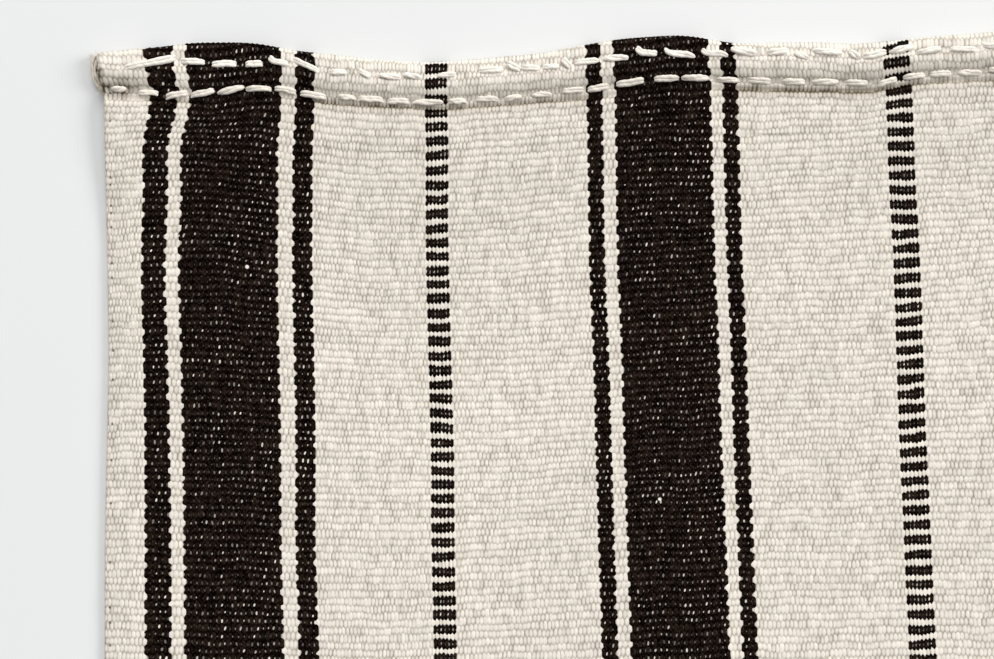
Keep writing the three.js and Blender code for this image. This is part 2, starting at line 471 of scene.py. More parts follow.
    def line_shift(self, x: np.ndarray, path: Path) -> np.ndarray:
        """How far the hem's unevenness moves the cloth along Y: the table of lines about its mean, which
        dies out past its last line, and the mean less the outermost fold, which dies out at the middle."""
        side = np.where(path.y >= 0, 1.0, -1.0)[:, None]
        inward = path.inward[:, None]
        share = np.where(side > 0, LINE_SHARE[End.FAR], LINE_SHARE[End.NEAR])
        wave = (self._lines(x, path, path.inward) - MEAN_LINE) * (1 - ease((inward - LINES_AT[-1]) / (LINES_END - LINES_AT[-1])))
        even = (MEAN_LINE - LINES[:, 1].max()) * (1 - inward / (LENGTH / 2))
        return side * share * (wave + even)

    def picks_at(self, x: np.ndarray, path: Path) -> np.ndarray:
        """Counts picks: by running length, and on a hem from the row of sewing outwards, so that a fold that
        lies further out takes in more of them."""
        side = np.where(path.y >= 0, 1.0, -1.0)[:, None]
        over = np.where(path.face_z > -0.999, path.inward, 0.0)
        past = self._lines(x, path, over) - self._lines(x, path, np.full(over.shape, self.hem.depth))
        share = np.where(side > 0, LINE_SHARE[End.FAR], LINE_SHARE[End.NEAR])
        near = (path.inward < self.hem.depth + self.hem.turn_past)[:, None]
        denser = 0.5 * ease((path.arc[:, None] - self.hem_arc - self.denser_from) / self.denser_over)
        return (path.arc[:, None] - side * share * past * near) / self.pitch - FIRST_PICK + denser

    def rib_waves(self, x: np.ndarray, path: Path) -> np.ndarray:
        """How far the picks wave along Y on the flat cloth: three long sines, past the table of lines."""
        y = path.y[:, None]
        grow = ease((path.inward[:, None] - 200) / 200)
        waves = (
            0.75 * np.sin(2 * math.pi * (x / 171 + y / 640) + 0.7)
            + 0.45 * np.sin(2 * math.pi * (x / 77 - y / 410) + 2.1)
            + 0.25 * np.sin(2 * math.pi * (x / 43 + y / 230) + 4.4)
        )
        return waves * grow

    def sideways(self, x: np.ndarray, path: Path) -> np.ndarray:
        """How far the cloth wanders along X: the hem's splay at the corners, the selvedge's slow waves
        and a smaller wander of the warps inside."""
        y = path.y[:, None]
        splay = path.splay[:, None]
        from_edge = WIDTH / 2 - np.abs(x)
        out = np.sign(x) * splay * ease(1 - from_edge / self.hem.splay_from)
        selvedge = 1.1 * np.sin(2 * math.pi * y / 640 + 0.6) + 0.5 * np.sin(2 * math.pi * y / 235 + 2.1)
        edge = selvedge * x / (WIDTH / 2) * (1 - np.abs(splay) / self.hem.splay_under)
        inside = ease(from_edge / 60) * ease((LENGTH / 2 - 300 - y) / 120) * ease((path.inward[:, None] - 16) / 50)
        warps = 0.7 * np.sin(2 * math.pi * (y / 310 + x / 260)) + 0.45 * np.sin(2 * math.pi * (y / 97 - x / 143) + 1.3)
        return out + edge + warps * inside + self.stray(x, path)

    def stray(self, x: np.ndarray, path: Path) -> np.ndarray:
        """Reads the table of strays: smooth from row to row and straight from column to column."""
        far = path.y > 0
        rows = np.clip(path.inward, 0, STRAY[-1, 0])
        columns = [np.where(far, smooth_line(STRAY[:, 0], column, rows), 0.0) for column in STRAY[:, 1:].T]
        table = np.stack(columns, axis=1)
        across = np.clip(WIDTH / 2 + np.broadcast_to(x, (len(rows), np.shape(x)[-1])), 0, STRAY_PLACES[-1])
        n = np.clip(np.searchsorted(STRAY_PLACES, across, side="right") - 1, 0, len(STRAY_PLACES) - 2)
        share = (across - STRAY_PLACES[n]) / (STRAY_PLACES[n + 1] - STRAY_PLACES[n])
        low = np.take_along_axis(table, n, axis=1)
        return mix(low, np.take_along_axis(table, n + 1, axis=1), share)

    def lift(self, x: np.ndarray, path: Path) -> np.ndarray:
        """How far the flat cloth stands off the floor: slow humps, never below it, none at the selvedges."""
        y = path.y[:, None]
        humps = (
            np.sin(2 * math.pi * (x / 190 + y / 260) + 1.1)
            + np.sin(2 * math.pi * (x / 113 - y / 171) + 3.0)
            + 0.6 * np.sin(2 * math.pi * (x / 67 + y / 93) + 0.4)
        )
        inside = ease((WIDTH / 2 - np.abs(x)) / 50) * ease((path.inward[:, None] - 30) / 60)
        return 0.3 * (humps + 2.6) * inside

    def point(self, x: np.ndarray, path: Path, off: np.ndarray, face_lift: bool = True) -> np.ndarray:
        """Places points of the cloth.

        A point is its place on the middle line, moved by the hem's line, the waves and the splay, and
        then off that line along the direction that the face looks.

        Args:
            x: places across, one per column or one per point.
            path: the middle line's points, one per row.
            off: distance off the middle line, for every point.
            face_lift: whether the humps of the flat cloth are added.

        Returns:
            Points, rows by columns by 3.
        """
        y = path.y[:, None] + self.line_shift(x, path) + self.rib_waves(x, path) + path.face_y[:, None] * off
        z = path.z[:, None] + path.face_z[:, None] * off
        if face_lift:
            z = z + self.lift(x, path)
        return np.stack(np.broadcast_arrays(x + self.sideways(x, path), y, z), axis=-1)


@dataclass(frozen=True)
class Stitch:
    """One running stitch: the points that its yarn passes on the top layer."""

    points: tuple[tuple[float, float], ...]  # across from the left selvedge, in from the folded end


def stitches(*rows: tuple) -> list[Stitch]:
    """Makes a stitch of each row of points."""
    return [Stitch(tuple(row)) for row in rows]


# The stitches that show, read one by one: across from the left selvedge, in from the folded end.
UPPER_SEEN = stitches(
    ((10.5, 9), (18, 7.5), (33.5, 5.5)),
    ((35.5, 7), (47.5, 8)),
    ((50.5, 9), (63.5, 9.5)),
    ((67.5, 10), (76, 9.5)),
    ((79.5, 5.5), (81.5, 7.5), (89, 8)),
    ((91.5, 5), (104.5, 10)),
    ((110, 9.5), (118.5, 8.5)),
    ((124.5, 6.5), (130.5, 10)),
    ((134.5, 8.5), (146.5, 9.5)),
    ((147.5, 7), (157, 9)),
    ((165, 7.5), (174.5, 7)),
    ((185.5, 6), (198.5, 6.5)),
    ((200, 4), (207, 7.5)),
    ((208, 6.5), (216.5, 8)),
    ((218, 7.5), (226.5, 8)),
    ((228.5, 5), (232, 9.5)),
    ((234, 7.5), (246.5, 8)),
    ((248, 7.5), (261.5, 8.5)),
    ((265.5, 4.5), (268, 7), (276, 8)),
    ((279.5, 5.5), (282, 8.5), (295, 9.5)),
    ((298, 5.5), (300.5, 7.5), (308, 6.5), (311.5, 7.5)),
    ((313, 4), (322, 5.5), (326, 5.5)),
    ((331, 5.5), (341.5, 4.5)),
    ((345, 5.5), (352, 8)),
    ((353.5, 4.5), (369, 5)),
    ((372.5, 4.5), (377.5, 7.5)),
    ((379, 7), (391, 5.5)),
    ((392.5, 6), (404.5, 4.5)),
    ((406, 8), (418, 6.5)),
    ((422, 7.5), (435.5, 9)),
)
LOWER_SEEN = stitches(
    ((3.5, 18), (9.5, 18)),
    ((14, 20), (22.5, 20)),
    ((25.5, 21.5), (37, 19)),
    ((38.5, 20), (51, 18)),
    ((52.5, 19.5), (66.5, 18.5)),
    ((67.5, 19.5), (80.5, 20)),
    ((82, 19.5), (93, 20.5)),
    ((95, 20.5), (108.5, 20.5)),
    ((114, 19.7), (123.5, 20)),
    ((124.5, 20), (137.5, 20)),
    ((139.5, 20.5), (150.5, 20)),
    ((152, 20.5), (168, 20)),
    ((170.5, 20), (179.5, 20)),
    ((184, 19.5), (195.5, 20)),
    ((198.5, 20.5), (207, 19.5)),
    ((212, 19.5), (222, 20)),
    ((227, 18.9), (238, 18.9)),
    ((240, 19.3), (250.5, 18.3)),
    ((254, 18.2), (268.5, 17.6)),
    ((273, 17.8), (285.5, 18.2)),
    ((287, 18.2), (301, 18.2)),
    ((304.5, 18.7), (316, 18.7)),
    ((320.5, 18.4), (332, 18.8)),
    ((337.5, 18.8), (349, 18.8)),
    ((352, 18.7), (366, 18.0)),
    ((369, 18.4), (380.5, 18.9)),
    ((385.5, 20.5), (395, 19)),
    ((398, 19), (409, 19)),
    ((411.5, 19), (422, 19)),
    ((425, 19), (437, 19.5)),
)
SEEN = {Row.UPPER: UPPER_SEEN, Row.LOWER: LOWER_SEEN}


@dataclass
class SewingRow:
    """One row of running stitches at one end: the ones that show, then more of their kind."""

    end: End
    row: Row
    hem: HemSize
    seed: int
    stitches: list[Stitch] = field(default_factory=list)

    def __post_init__(self) -> None:
        """Lists the row's stitches, read from the end's own left selvedge."""
        seen = SEEN[self.row] if self.end is End.FAR else []
        start = seen[-1].points[-1][0] if seen else 0.0
        self.stitches = list(seen) + self._more(start)

    def _more(self, start: float) -> list[Stitch]:
        """Adds uneven stitches from a place on to the right selvedge, a few of the upper ones hooked."""
        rng = np.random.default_rng(self.seed)
        upper = self.row is Row.UPPER
        middle = self.hem.upper_row * self.hem.depth - 0.5 if upper else self.hem.depth - 0.5
        spread = 1.3 if upper else 0.6
        made, place = [], start
        while True:
            place += rng.uniform(1.5, 4.5)
            long = rng.uniform(8.0, 15.0)
            if place + long > WIDTH - 4:
                return made
            first, last = middle + rng.normal(0, spread, 2)
            points = [(place, first), (place + long, last)]
            if upper and rng.random() < 0.25:
                points.insert(0, (place - 1.5, first - rng.uniform(1.5, 2.5)))
            made.append(Stitch(tuple(points)))
            place += long


class SewingDents:
    """How the sewing draws the top layer in: a shallow furrow along each row, a pit at each end of a stitch,
    a soft trough under it and a low swelling between two stitches."""

    # each row of sewing: middle, depth and width of a furrow, below zero for a filling of the solid's trough
    furrow = {Row.UPPER: ((8.0, -0.6, 3.0),), Row.LOWER: ((16.0, -0.35, 3.4), (22.9, 1.8, 1.6))}
    pit = 0.8
    pit_width = 1.7
    trough = 0.3
    trough_width = 1.8
    swelling = 0.5

    def __init__(self, rows: list[SewingRow]) -> None:
        """Keeps the rows of both ends."""
        self.rows = rows

    def furrows(self, inward: np.ndarray) -> np.ndarray:
        """Depth of the furrows along the two rows, below zero: a bell of the distance from each one's middle."""
        total = 0.0 * inward
        for middle, depth, width in (furrow for row in Row for furrow in self.furrow[row]):
            total = total - depth * bell((inward - middle) / width)
        return total

    def depth(self, across: np.ndarray, inward: np.ndarray, end: End) -> np.ndarray:
        """How far the face is pushed in or out.

        Adds to the furrows the bells of the distance to each stitch's ends for the pits, of the distance to
        its straight run for the trough, and of the distance to the middle of each gap for the swelling.

        Args:
            across: places from that end's left selvedge.
            inward: distances in from the folded end.
            end: which end.

        Returns:
            Depths in the shape of the grid, below zero for pushed in.
        """
        total = self.furrows(inward) + 0.0 * across
        reach = 4 * self.trough_width
        for row in (r for r in self.rows if r.end is end):
            last = None
            for stitch in row.stitches:
                points = np.array(stitch.points)
                near = np.flatnonzero((across > points[0, 0] - reach) & (across < points[-1, 0] + reach))
                if near.size == 0:
                    continue
                columns = slice(near[0], near[-1] + 1)
                a, i = across[columns], inward
                for place, depth in (points[0], points[-1]):
                    total[:, columns] -= self.pit * bell(np.hypot(a - place, i - depth) / self.pit_width)
                run = points[-1] - points[-2]
                share = np.clip(((a - points[-2, 0]) * run[0] + (i - points[-2, 1]) * run[1]) / (run @ run), 0, 1)
                away = np.hypot(a - points[-2, 0] - share * run[0], i - points[-2, 1] - share * run[1])
                total[:, columns] -= self.trough * bell(away / self.trough_width)
                if last is not None:
                    gap = (points[0] + last) / 2
                    total[:, columns] += self.swelling * bell(np.hypot(a - gap[0], i - gap[1]) / self.pit_width)
                last = points[-1]
        return total


class MeshMaker:
    """Gathers vertices and faces of one piece, with one or two numbers of UV for each vertex."""

    def __init__(self) -> None:
        """Starts with nothing."""
        self.points: list[np.ndarray] = []
        self.uvs: list[np.ndarray] = []
        self.faces: list[list[int]] = []
        self.count = 0

    def add(self, points: np.ndarray, uv: np.ndarray) -> np.ndarray:
        """Adds vertices.

        Args:
            points: any shape, with the last axis the three coordinates in millimetres.
            uv: the same shape, with the last axis the two UV numbers.

        Returns:
            The vertices' numbers, in the shape of the points.
        """
        shape = points.shape[:-1]
        self.points.append(points.reshape(-1, 3))
        self.uvs.append(uv.reshape(-1, 2))
        size = int(np.prod(shape))
        numbers = np.arange(self.count, self.count + size).reshape(shape)
        self.count += size
        return numbers

    def grid(self, numbers: np.ndarray, flip: bool = False) -> None:
        """Joins a grid of vertices with quads that look along (first axis) x (second axis)."""
        a, b, c, d = numbers[:-1, :-1], numbers[1:, :-1], numbers[1:, 1:], numbers[:-1, 1:]
        quads = np.stack([a, d, c, b] if flip else [a, b, c, d], axis=-1)
        self.faces.extend(quads.reshape(-1, 4).tolist())

    def face(self, numbers: list[int]) -> None:
        """Adds one face."""
        self.faces.append([int(n) for n in numbers])

    def object(self, name: str, uv_name: str) -> bpy.types.Object:
        """Makes the mesh object, smooth and in metres.

        Args:
            name: of the object and its mesh.
            uv_name: of the UV map.

        Returns:
            The object, at the origin.
        """
        mesh = bpy.data.meshes.new(name)
        points = np.concatenate(self.points) * MM
        mesh.from_pydata(points.tolist(), [], self.faces)
        mesh.polygons.foreach_set("use_smooth", np.ones(len(mesh.polygons), dtype=bool))
        corners = np.empty(len(mesh.loops), dtype=np.int32)
        mesh.loops.foreach_get("vertex_index", corners)
        layer = mesh.uv_layers.new(name=uv_name)
        layer.data.foreach_set("uv", np.concatenate(self.uvs)[corners].astype(np.float32).ravel())
        mesh.validate()
        mesh.update()
        made = bpy.data.objects.new(name, mesh)
        bpy.context.scene.collection.objects.link(made)
        return made


# Columns of the flat cloth's mesh, from the left selvedge: close together where the far corner's warps stray.
COLUMNS_AT = (
    0, 14, 26, 44, 62, 80, 98, 130, 165, 200, 237, 275, 315, 355, 395, 437, 480, 520, 600, 700, 790,
)


@dataclass
class RugCloth:
    """The woven cloth with its two hems, one closed sheet."""

    form: ClothForm
    dents: SewingDents
    fine: int = 340  # columns on the hems
    finest: int = 3  # times as many round the far folded end
    bead: float = 0.42  # how far a float stands out there
    rows_per_pick: int = 3
    rib: float = 0.24  # crest to valley
    edge_round: float = 1.2  # the selvedge rounds off over this width
    edge_angles: tuple[float, float] = (48.0, -18.0)
    scallop: float = 0.35  # how far each pick's turn stands out at the selvedge
    finer_to: float = 45.0  # the finer part of the mesh ends this far in
    back_to: float = 112.0  # the back of a hem is modelled this far in
    close_rows: tuple[float, float, float] = (17.5, 25.6, 0.66)  # from, to and apart, about the lower row of sewing

    def rib_height(self, pick: np.ndarray, path: Path) -> np.ndarray:
        """Height of a rib: |sin(pi v)| about its mean, so that whole numbers of v are the valleys. On a hem
        the picks run askew to the mesh and their relief is left to the finish."""
        share = ease((path.inward[:, None] - self.form.hem.depth) / 6)
        return share * self.rib * (np.abs(np.sin(math.pi * pick)) - 2 / math.pi)

    def beads(self, x: np.ndarray, path: Path) -> np.ndarray:
        """Height of single floats: (1 - (dv / 0.8)^2) cos(pi (u - 1/2 - n)) on pick n, dv from its middle and u
        counted in ends, or that of the neighbouring pick where it is higher. They grow in from the first
        row of the path and out to its last."""
        pick = self.form.picks_at(x, path)
        from_middle = np.abs(pick - np.floor(pick) - 0.5)
        wave = np.cos(math.pi * (ends_at(x) - 0.5 - np.floor(pick)))
        own = 1 - (from_middle / 0.8) ** 2
        other = np.maximum(1 - ((1 - from_middle) / 0.8) ** 2, 0)
        rise = np.maximum(own * wave, -other * wave) - 0.3
        along = (path.arc - path.arc[0])[:, None]
        fade = ease(along / self.form.pitch) * ease((along[-1] - along) / self.form.pitch)
        return self.bead * rise * fade

    def face_off(self, x: np.ndarray, path: Path) -> np.ndarray:
        """Distance of the face off the middle line: half the thickness, the ribs, a slow unevenness of
        the beating and, on the top of a hem, the dents of the sewing."""
        pick = self.form.picks_at(x, path)
        y = path.y[:, None]
        uneven = 0.12 * np.sin(2 * math.pi * (x / 57 + pick / 9.3)) + 0.1 * np.sin(2 * math.pi * (x / 31 - pick / 5.7))
        off = path.thick[:, None] / 2 + self.rib_height(pick, path) + uneven + 0 * x
        for end in End:
            hem_top = (y * end.value > 0) & (path.face_z[:, None] > 0.2) & (path.z[:, None] > CLOTH)
            rows = np.flatnonzero(hem_top[:, 0] & (path.inward < 32))
            if rows.size:
                part = slice(rows[0], rows[-1] + 1)
                across = WIDTH / 2 + end.value * x
                order = slice(None, None, end.value)
                dent = self.dents.depth(across[order], path.inward[part, None], end)[:, order]
                off[part] += dent
        return off

    def _uv(self, x: np.ndarray, path: Path) -> np.ndarray:
        """The weave's own coordinates: across and pick."""
        return np.stack(np.broadcast_arrays(x[None, :], self.form.picks_at(x, path)), axis=-1)

    def _columns(self, times: int) -> np.ndarray:
        """Places of the columns along X: the few of the flat cloth for 0, or the hem's, split so many times."""
        inner = WIDTH / 2 - self.edge_round
        hem = np.linspace(-inner, inner, self.fine * max(times, 1) + 1)
        return hem if times else hem[np.round(np.array(COLUMNS_AT) / WIDTH * self.fine).astype(int)]

    def _face_rows(self, maker: MeshMaker, path: Path, blocks: list[tuple[int, int]]) -> list[np.ndarray]:
        """Adds the face in blocks of rows, each with its own columns.

        Args:
            maker: takes the vertices and faces.
            path: the middle line's points.
            blocks: the first row of each block and how many times its columns are split, and at the end
                the number of rows.

        Returns:
            The vertex numbers of each block.
        """
        made, places = [], []
        for (start, times), (stop, _) in zip(blocks[:-1], blocks[1:]):
            x = self._columns(times)
            part = path.part(slice(start, stop))
            off = self.face_off(x, part)
            if times > 1:
                off = off + self.beads(x, part)
            numbers = maker.add(self.form.point(x, part, off), self._uv(x, part))
            maker.grid(numbers)
            made.append(numbers)
            places.append(x)
        for n in range(len(made) - 1):
            self._join(maker, made[n][-1], made[n + 1][0], places[n], places[n + 1])
        return made

    def _join(self, maker: MeshMaker, before: np.ndarray, after: np.ndarray, x_before: np.ndarray, x_after: np.ndarray) -> None:
        """Joins two rows of unlike numbers of columns, with one many-sided face for each column of the
        wider ones.

        Args:
            maker: takes the faces.
            before: vertex numbers of the one row.
            after: of the next.
            x_before: the places of the one row's columns.
            x_after: of the next.
        """
        shared = min(x_before, x_after, key=len) - 1e-6
        b, a = np.searchsorted(x_before, shared), np.searchsorted(x_after, shared)
        for n in range(len(shared) - 1):
            maker.face([*before[b[n]:b[n + 1] + 1][::-1], *after[a[n]:a[n + 1] + 1]])

    def _back(self, maker: MeshMaker, path: Path, hem_rows: int) -> list[np.ndarray]:
        """Adds the back: strips behind the hems, one wide strip under the flat cloth.

        Behind a hem the rows follow its line, and they straighten out where the wide strip begins.
        """
        inner = WIDTH / 2 - self.edge_round
        coarse = self._columns(0)
        edges = coarse[[0, -1]]
        last = len(path.arc)
        blocks = []
        for x, start, stop in ((coarse, 0, hem_rows), (edges, hem_rows, last - hem_rows), (coarse, last - hem_rows, last)):
            part = path.part(slice(start, stop))
            off = -path.thick[start:stop, None] / 2 + 0 * x
            points = self.form.point(x, part, off, face_lift=False)
            straight = mix(points[:, :1, 1], points[:, -1:, 1], (x + inner) / (2 * inner))
            share = ease((part.inward[:, None] - self.form.ramp_end) / (self.back_to - self.form.ramp_end - 2))
            points[..., 1] = mix(points[..., 1], straight, share)
            numbers = maker.add(points, self._uv(x, part))
            maker.grid(numbers, flip=True)
            blocks.append(numbers)
        maker.face([*blocks[0][-1], blocks[1][0, 1], blocks[1][0, 0]])
        maker.face([*blocks[1][-1], *blocks[2][0][::-1]])
        return blocks

    def _selvedge(self, maker: MeshMaker, path: Path, side: int) -> np.ndarray:
        """Adds the two lines of points round one selvedge: x = edge + r cos a, off = half thickness sin a,
        with a small bulge where each pick turns."""
        pick = self.form.picks_at(np.array([side * WIDTH / 2]), path)[:, 0]
        lines = []
        for angle in np.radians(self.edge_angles):
            bulge = self.scallop * (np.abs(np.sin(math.pi * pick)) - 0.5) * math.cos(angle)
            x = side * (WIDTH / 2 - self.edge_round * (1 - math.cos(angle)) + bulge)[:, None]
            off = path.thick[:, None] / 2 * math.sin(angle)
            lines.append(self.form.point(x, path, off, face_lift=False)[:, 0])
        uv = np.stack([np.full(pick.shape, side * WIDTH / 2), pick], axis=-1)
        return maker.add(np.stack(lines, axis=1), np.stack([uv, uv], axis=1))

    def build(self) -> bpy.types.Object:
        """Makes the cloth.

        Returns:
            The piece, one closed mesh.
        """
        form = self.form
        arcs = self._row_arcs()
        rows = len(arcs)
        path = form.path.at(arcs)
        fold_start = float(np.interp(form.fold_centre, *self._floor_arcs()))
        first = int(np.searchsorted(path.arc, fold_start))
        last = int(np.searchsorted(path.arc, float(form.arc_on_top(self.finer_to, End.FAR))))
        hem_rows = int(np.searchsorted(path.arc, form.hem_arc + self.back_to - form.ramp_end))
        maker = MeshMaker()
        bead_start = int(np.searchsorted(path.arc, fold_start - 0.2 * self.form.pitch))
        bead_stop = bead_start + round(3.7 * self.rows_per_pick)
        plan = [
            (0, 0), (bead_start, self.finest), (bead_stop, 1), (last, 0), (rows - last, 1), (rows - first, 0), (rows, 0),
        ]
        blocks = self._face_rows(maker, path, plan)
        back = self._back(maker, path, hem_rows)
        ends = {-1: 0, 1: -1}
        edges = {}
        for side, column in ends.items():
            face = np.concatenate([b[:, column] for b in blocks])
            under = np.concatenate([b[:, column] for b in back])
            sides = self._selvedge(maker, path, side)
            edges[side] = np.column_stack([face, sides, under])
            maker.grid(edges[side], flip=side < 0)
        self._raw_edge(maker, blocks[0][0], back[0][0], edges, 0)
        self._raw_edge(maker, blocks[-1][-1], back[-1][-1], edges, -1)
        made = maker.object(NODE + "_woven", WEAVE_UV)
        self._add_soil_and_painted_light(made, np.concatenate(maker.points), np.concatenate(maker.uvs)[:, 1])
        return made

    def _row_arcs(self) -> np.ndarray:
        """Running lengths of the mesh's rows: some for each pick, and more of them about the lower row of
        sewing, the same from both ends."""
        form = self.form
        even = np.linspace(0, form.total, form.picks * self.rows_per_pick + 1)
        start, stop = (float(form.arc_on_top(place, End.FAR)) for place in self.close_rows[:2])
        close = np.arange(start, stop, self.close_rows[2])
        half = even[(even < form.total / 2) & ((even < start) | (even > stop))]
        half = np.sort(np.concatenate([half, close]))
        return np.concatenate([half, [form.total / 2], form.total - half[::-1]])

    def _floor_arcs(self) -> tuple[np.ndarray, np.ndarray]:
        """Places on the floor layer of the far hem and their running lengths, rising."""
        path = self.form.path
        part = (path.arc < self.form.hem_arc) & (path.z < self.form.hem.layer) & (path.face_z < -0.9)
        return path.inward[part][::-1], path.arc[part][::-1]

    def _raw_edge(self, maker: MeshMaker, face: np.ndarray, under: np.ndarray, edges: dict, row: int) -> None:
        """Closes a raw edge between face and back."""
        left, right = edges[-1][row], edges[1][row]
        cap = [[face[c], face[c + 1], under[c + 1], under[c]] for c in range(len(face) - 1)]
        cap.append(list(right))
        cap.append([left[1], left[0], left[3], left[2]])
        for numbers in cap:
            maker.face(numbers if row == 0 else numbers[::-1])

    def _add_soil_and_painted_light(self, made: bpy.types.Object, points: np.ndarray, picks: np.ndarray) -> None:
        """Stores soil and painted light in one value: painted shade in a narrow bell along the slit at the open
        side of each hem, soil in a wide one on the hem beside it, soil and painted shade along the groove of the
        lower row of sewing, as strong as the table says, and painted shade above that row and in the listed pits.
        Below zero it is a painted highlight, between the folded end and the upper row."""
        total = np.zeros(len(points))
        x, y, z = points.T
        for end in End:
            share = 1.0 if end is End.FAR else 0.6
            inward = LENGTH / 2 - end.value * y
            for side, more in ((-1, 1.0), (1, 0.5)):
                away = end.value * side * x - WIDTH / 2
                # Painted shade in the slit along the open side of the hem's layers; the patch beside it is soil.
                slit_shade = bell((away - 1.0) / 1.6) * bell((inward - 12) / 9) * (z > 2.0)
                patch = 0.45 * bell((away + 12) / 9) * bell((inward - 22) / 5) + 0.25 * bell((away + 8) / 14) * bell((inward - 20) / 9)
                total += share * more * (slit_shade + patch)
            # Soil and painted shade along the groove past the lower row of sewing.
            groove = float(self.form.arc_on_top(GROOVE, end))
            past = end.value * ((picks + FIRST_PICK) * self.form.pitch - groove)
            across = WIDTH / 2 + end.value * x
            strength = np.interp(across, *np.array(GROOVE_SOIL_AND_SHADE).T)
            uneven = 0.85 + 0.15 * np.sin(x / 19) * np.sin(x / 7.3 + 1)
            dark = bell((past + 0.3) / 1.3) + 0.6 * bell((past - 1.6) / 2.2) + 0.18 * bell((past + 6) / 4)
            total += share * strength * uneven * dark
            # Painted highlight on the top layer near the folded end, stored below zero.
            total -= share * bell((past + GROOVE - 4.2) / 3.4) * (z > 3.5)
            # Painted shade on the hem just above the lower row, from 180 mm across on.
            total += share * 0.14 * ease((across - 180) / 60) * bell((past + 8.5) / 4.5)
            # Painted shade in the listed pits.
            for place, depth, radius in SHADED_PITS:
                total += share * bell(np.hypot(across - place, past + GROOVE - depth) / radius)
        layer = made.data.attributes.new(SOIL_AND_PAINTED_LIGHT, "FLOAT", "POINT")
        layer.data.foreach_set("value", np.clip(total, -1, 1).astype(np.float32))


@dataclass
class RunningStitches:
    """The doubled yarn of one row of sewing: two strands side by side in each stitch."""

    form: ClothForm
    row: SewingRow
    dents: SewingDents
    radius: float = 1.08
    apart: float = 0.5  # of a strand from the stitch's own line, as a share of its radius
    steps: int = 14
    sides: int = 8
    sunk: float = -1.6  # the yarn starts and ends this far under the face
    proud: float = 0.25  # and runs this far over it
    flat: float = 0.74  # height of a strand's section as a share of its width

    def _line(self, stitch: Stitch, rng: np.random.Generator) -> np.ndarray:
        """Centre lines of a stitch's two strands, in across, inward and height off the face.

        Along the run the line is the stitch's points, rounded off. The height rises and falls as a flat
        arch, 1 - |2t - 1|^5, and the strands part a little in the middle.
        """
        points = np.array(stitch.points, dtype=float)
        length = np.concatenate([[0], np.cumsum(np.hypot(*np.diff(points, axis=0).T))])
        t = np.linspace(0, 1, self.steps)
        run = np.stack([np.interp(t * length[-1], length, points[:, k]) for k in (0, 1)], axis=1)
        inner = (run[:-2] + 2 * run[1:-1] + run[2:]) / 4
        run[1:-1] = inner
        along = np.gradient(run, axis=0)
        along /= np.hypot(*along.T)[:, None]
        beside = np.stack([-along[:, 1], along[:, 0]], axis=1)
        arch = 1 - np.abs(2 * t - 1) ** 5
        lines = []
        turn = rng.uniform(-0.5, 0.5)
        parted = rng.uniform(0.0, 0.16)
        for strand in (-1, 1):
            swing = strand * np.cos(turn * math.pi * (t - 0.5) * 2)
            over = strand * np.sin(turn * math.pi * (t - 0.5) * 2)
            away = self.radius * (self.apart + parted * np.sin(math.pi * t)) * swing
            height = mix(self.sunk, self.proud, arch) + 0.35 * self.radius * over * arch
            height = height + rng.normal(0, 0.06)
            away = away + 0.09 * np.sin(2 * math.pi * (1.7 * t + rng.random())) + 0.05 * np.sin(2 * math.pi * (4.1 * t + rng.random()))
            place = run + beside * away[:, None]
            lines.append(np.column_stack([place, height]))
        return np.stack(lines)

    def build(self) -> bpy.types.Object:
        """Makes the row.

        Each strand is a tube: a circle of some sides, drawn in at the two ends, carried along its line.

        Returns:
            The piece.
        """
        rng = np.random.default_rng(self.row.seed + 100)
        lines = np.concatenate([self._line(s, rng) for s in self.row.stitches])
        count = len(lines)
        flat = lines.reshape(-1, 3)
        side = self.row.end.value
        path = self.form.path.at(self.form.arc_on_top(flat[:, 1], self.row.end))
        x = side * (flat[:, :1] - WIDTH / 2)
        off = path.thick[:, None] / 2 + flat[:, 2:] + self.dents.furrows(flat[:, 1:2])
        centre = self.form.point(x, path, off)[:, 0].reshape(count, self.steps, 3)
        along = np.gradient(centre, axis=1)
        along /= np.linalg.norm(along, axis=2, keepdims=True)
        up = np.stack([0 * path.y, path.face_y, path.face_z], axis=1).reshape(count, self.steps, 3)
        beside = np.cross(along, up)
        beside /= np.linalg.norm(beside, axis=2, keepdims=True)
        up = np.cross(beside, along)
        t = np.linspace(0, 1, self.steps)
        size = self.radius * (1 - 0.45 * np.abs(2 * t - 1) ** 6)
        size = size[None, :] * rng.uniform(0.9, 1.08, (count, 1))
        angle = np.linspace(0, 2 * math.pi, self.sides + 1)[:-1]
        ring = np.cos(angle)[:, None] * beside[:, :, None] + self.flat * np.sin(angle)[:, None] * up[:, :, None]
        uneven = rng.normal(1, 0.06, (count, self.steps, self.sides, 1))
        points = centre[:, :, None] + size[:, :, None, None] * ring * uneven
        length = np.linalg.norm(np.diff(centre, axis=1), axis=2).cumsum(axis=1)
        length = np.concatenate([np.zeros((count, 1)), length], axis=1) + 37.0 * np.arange(count)[:, None]
        maker = MeshMaker()
        around = np.broadcast_to(angle / (2 * math.pi), points.shape[:3])
        uv = np.stack([around, np.broadcast_to(length[:, :, None], points.shape[:3])], axis=-1)
        numbers = maker.add(points, uv)
        closed = np.concatenate([numbers, numbers[:, :, :1]], axis=2)
        for strand in closed:
            maker.grid(strand, flip=True)
            maker.face(list(strand[0, :-1]))
            maker.face(list(strand[-1, :-1][::-1]))
        return maker.object(f"sewing_{self.row.end.name.lower()}_{self.row.row.value}", YARN_UV)


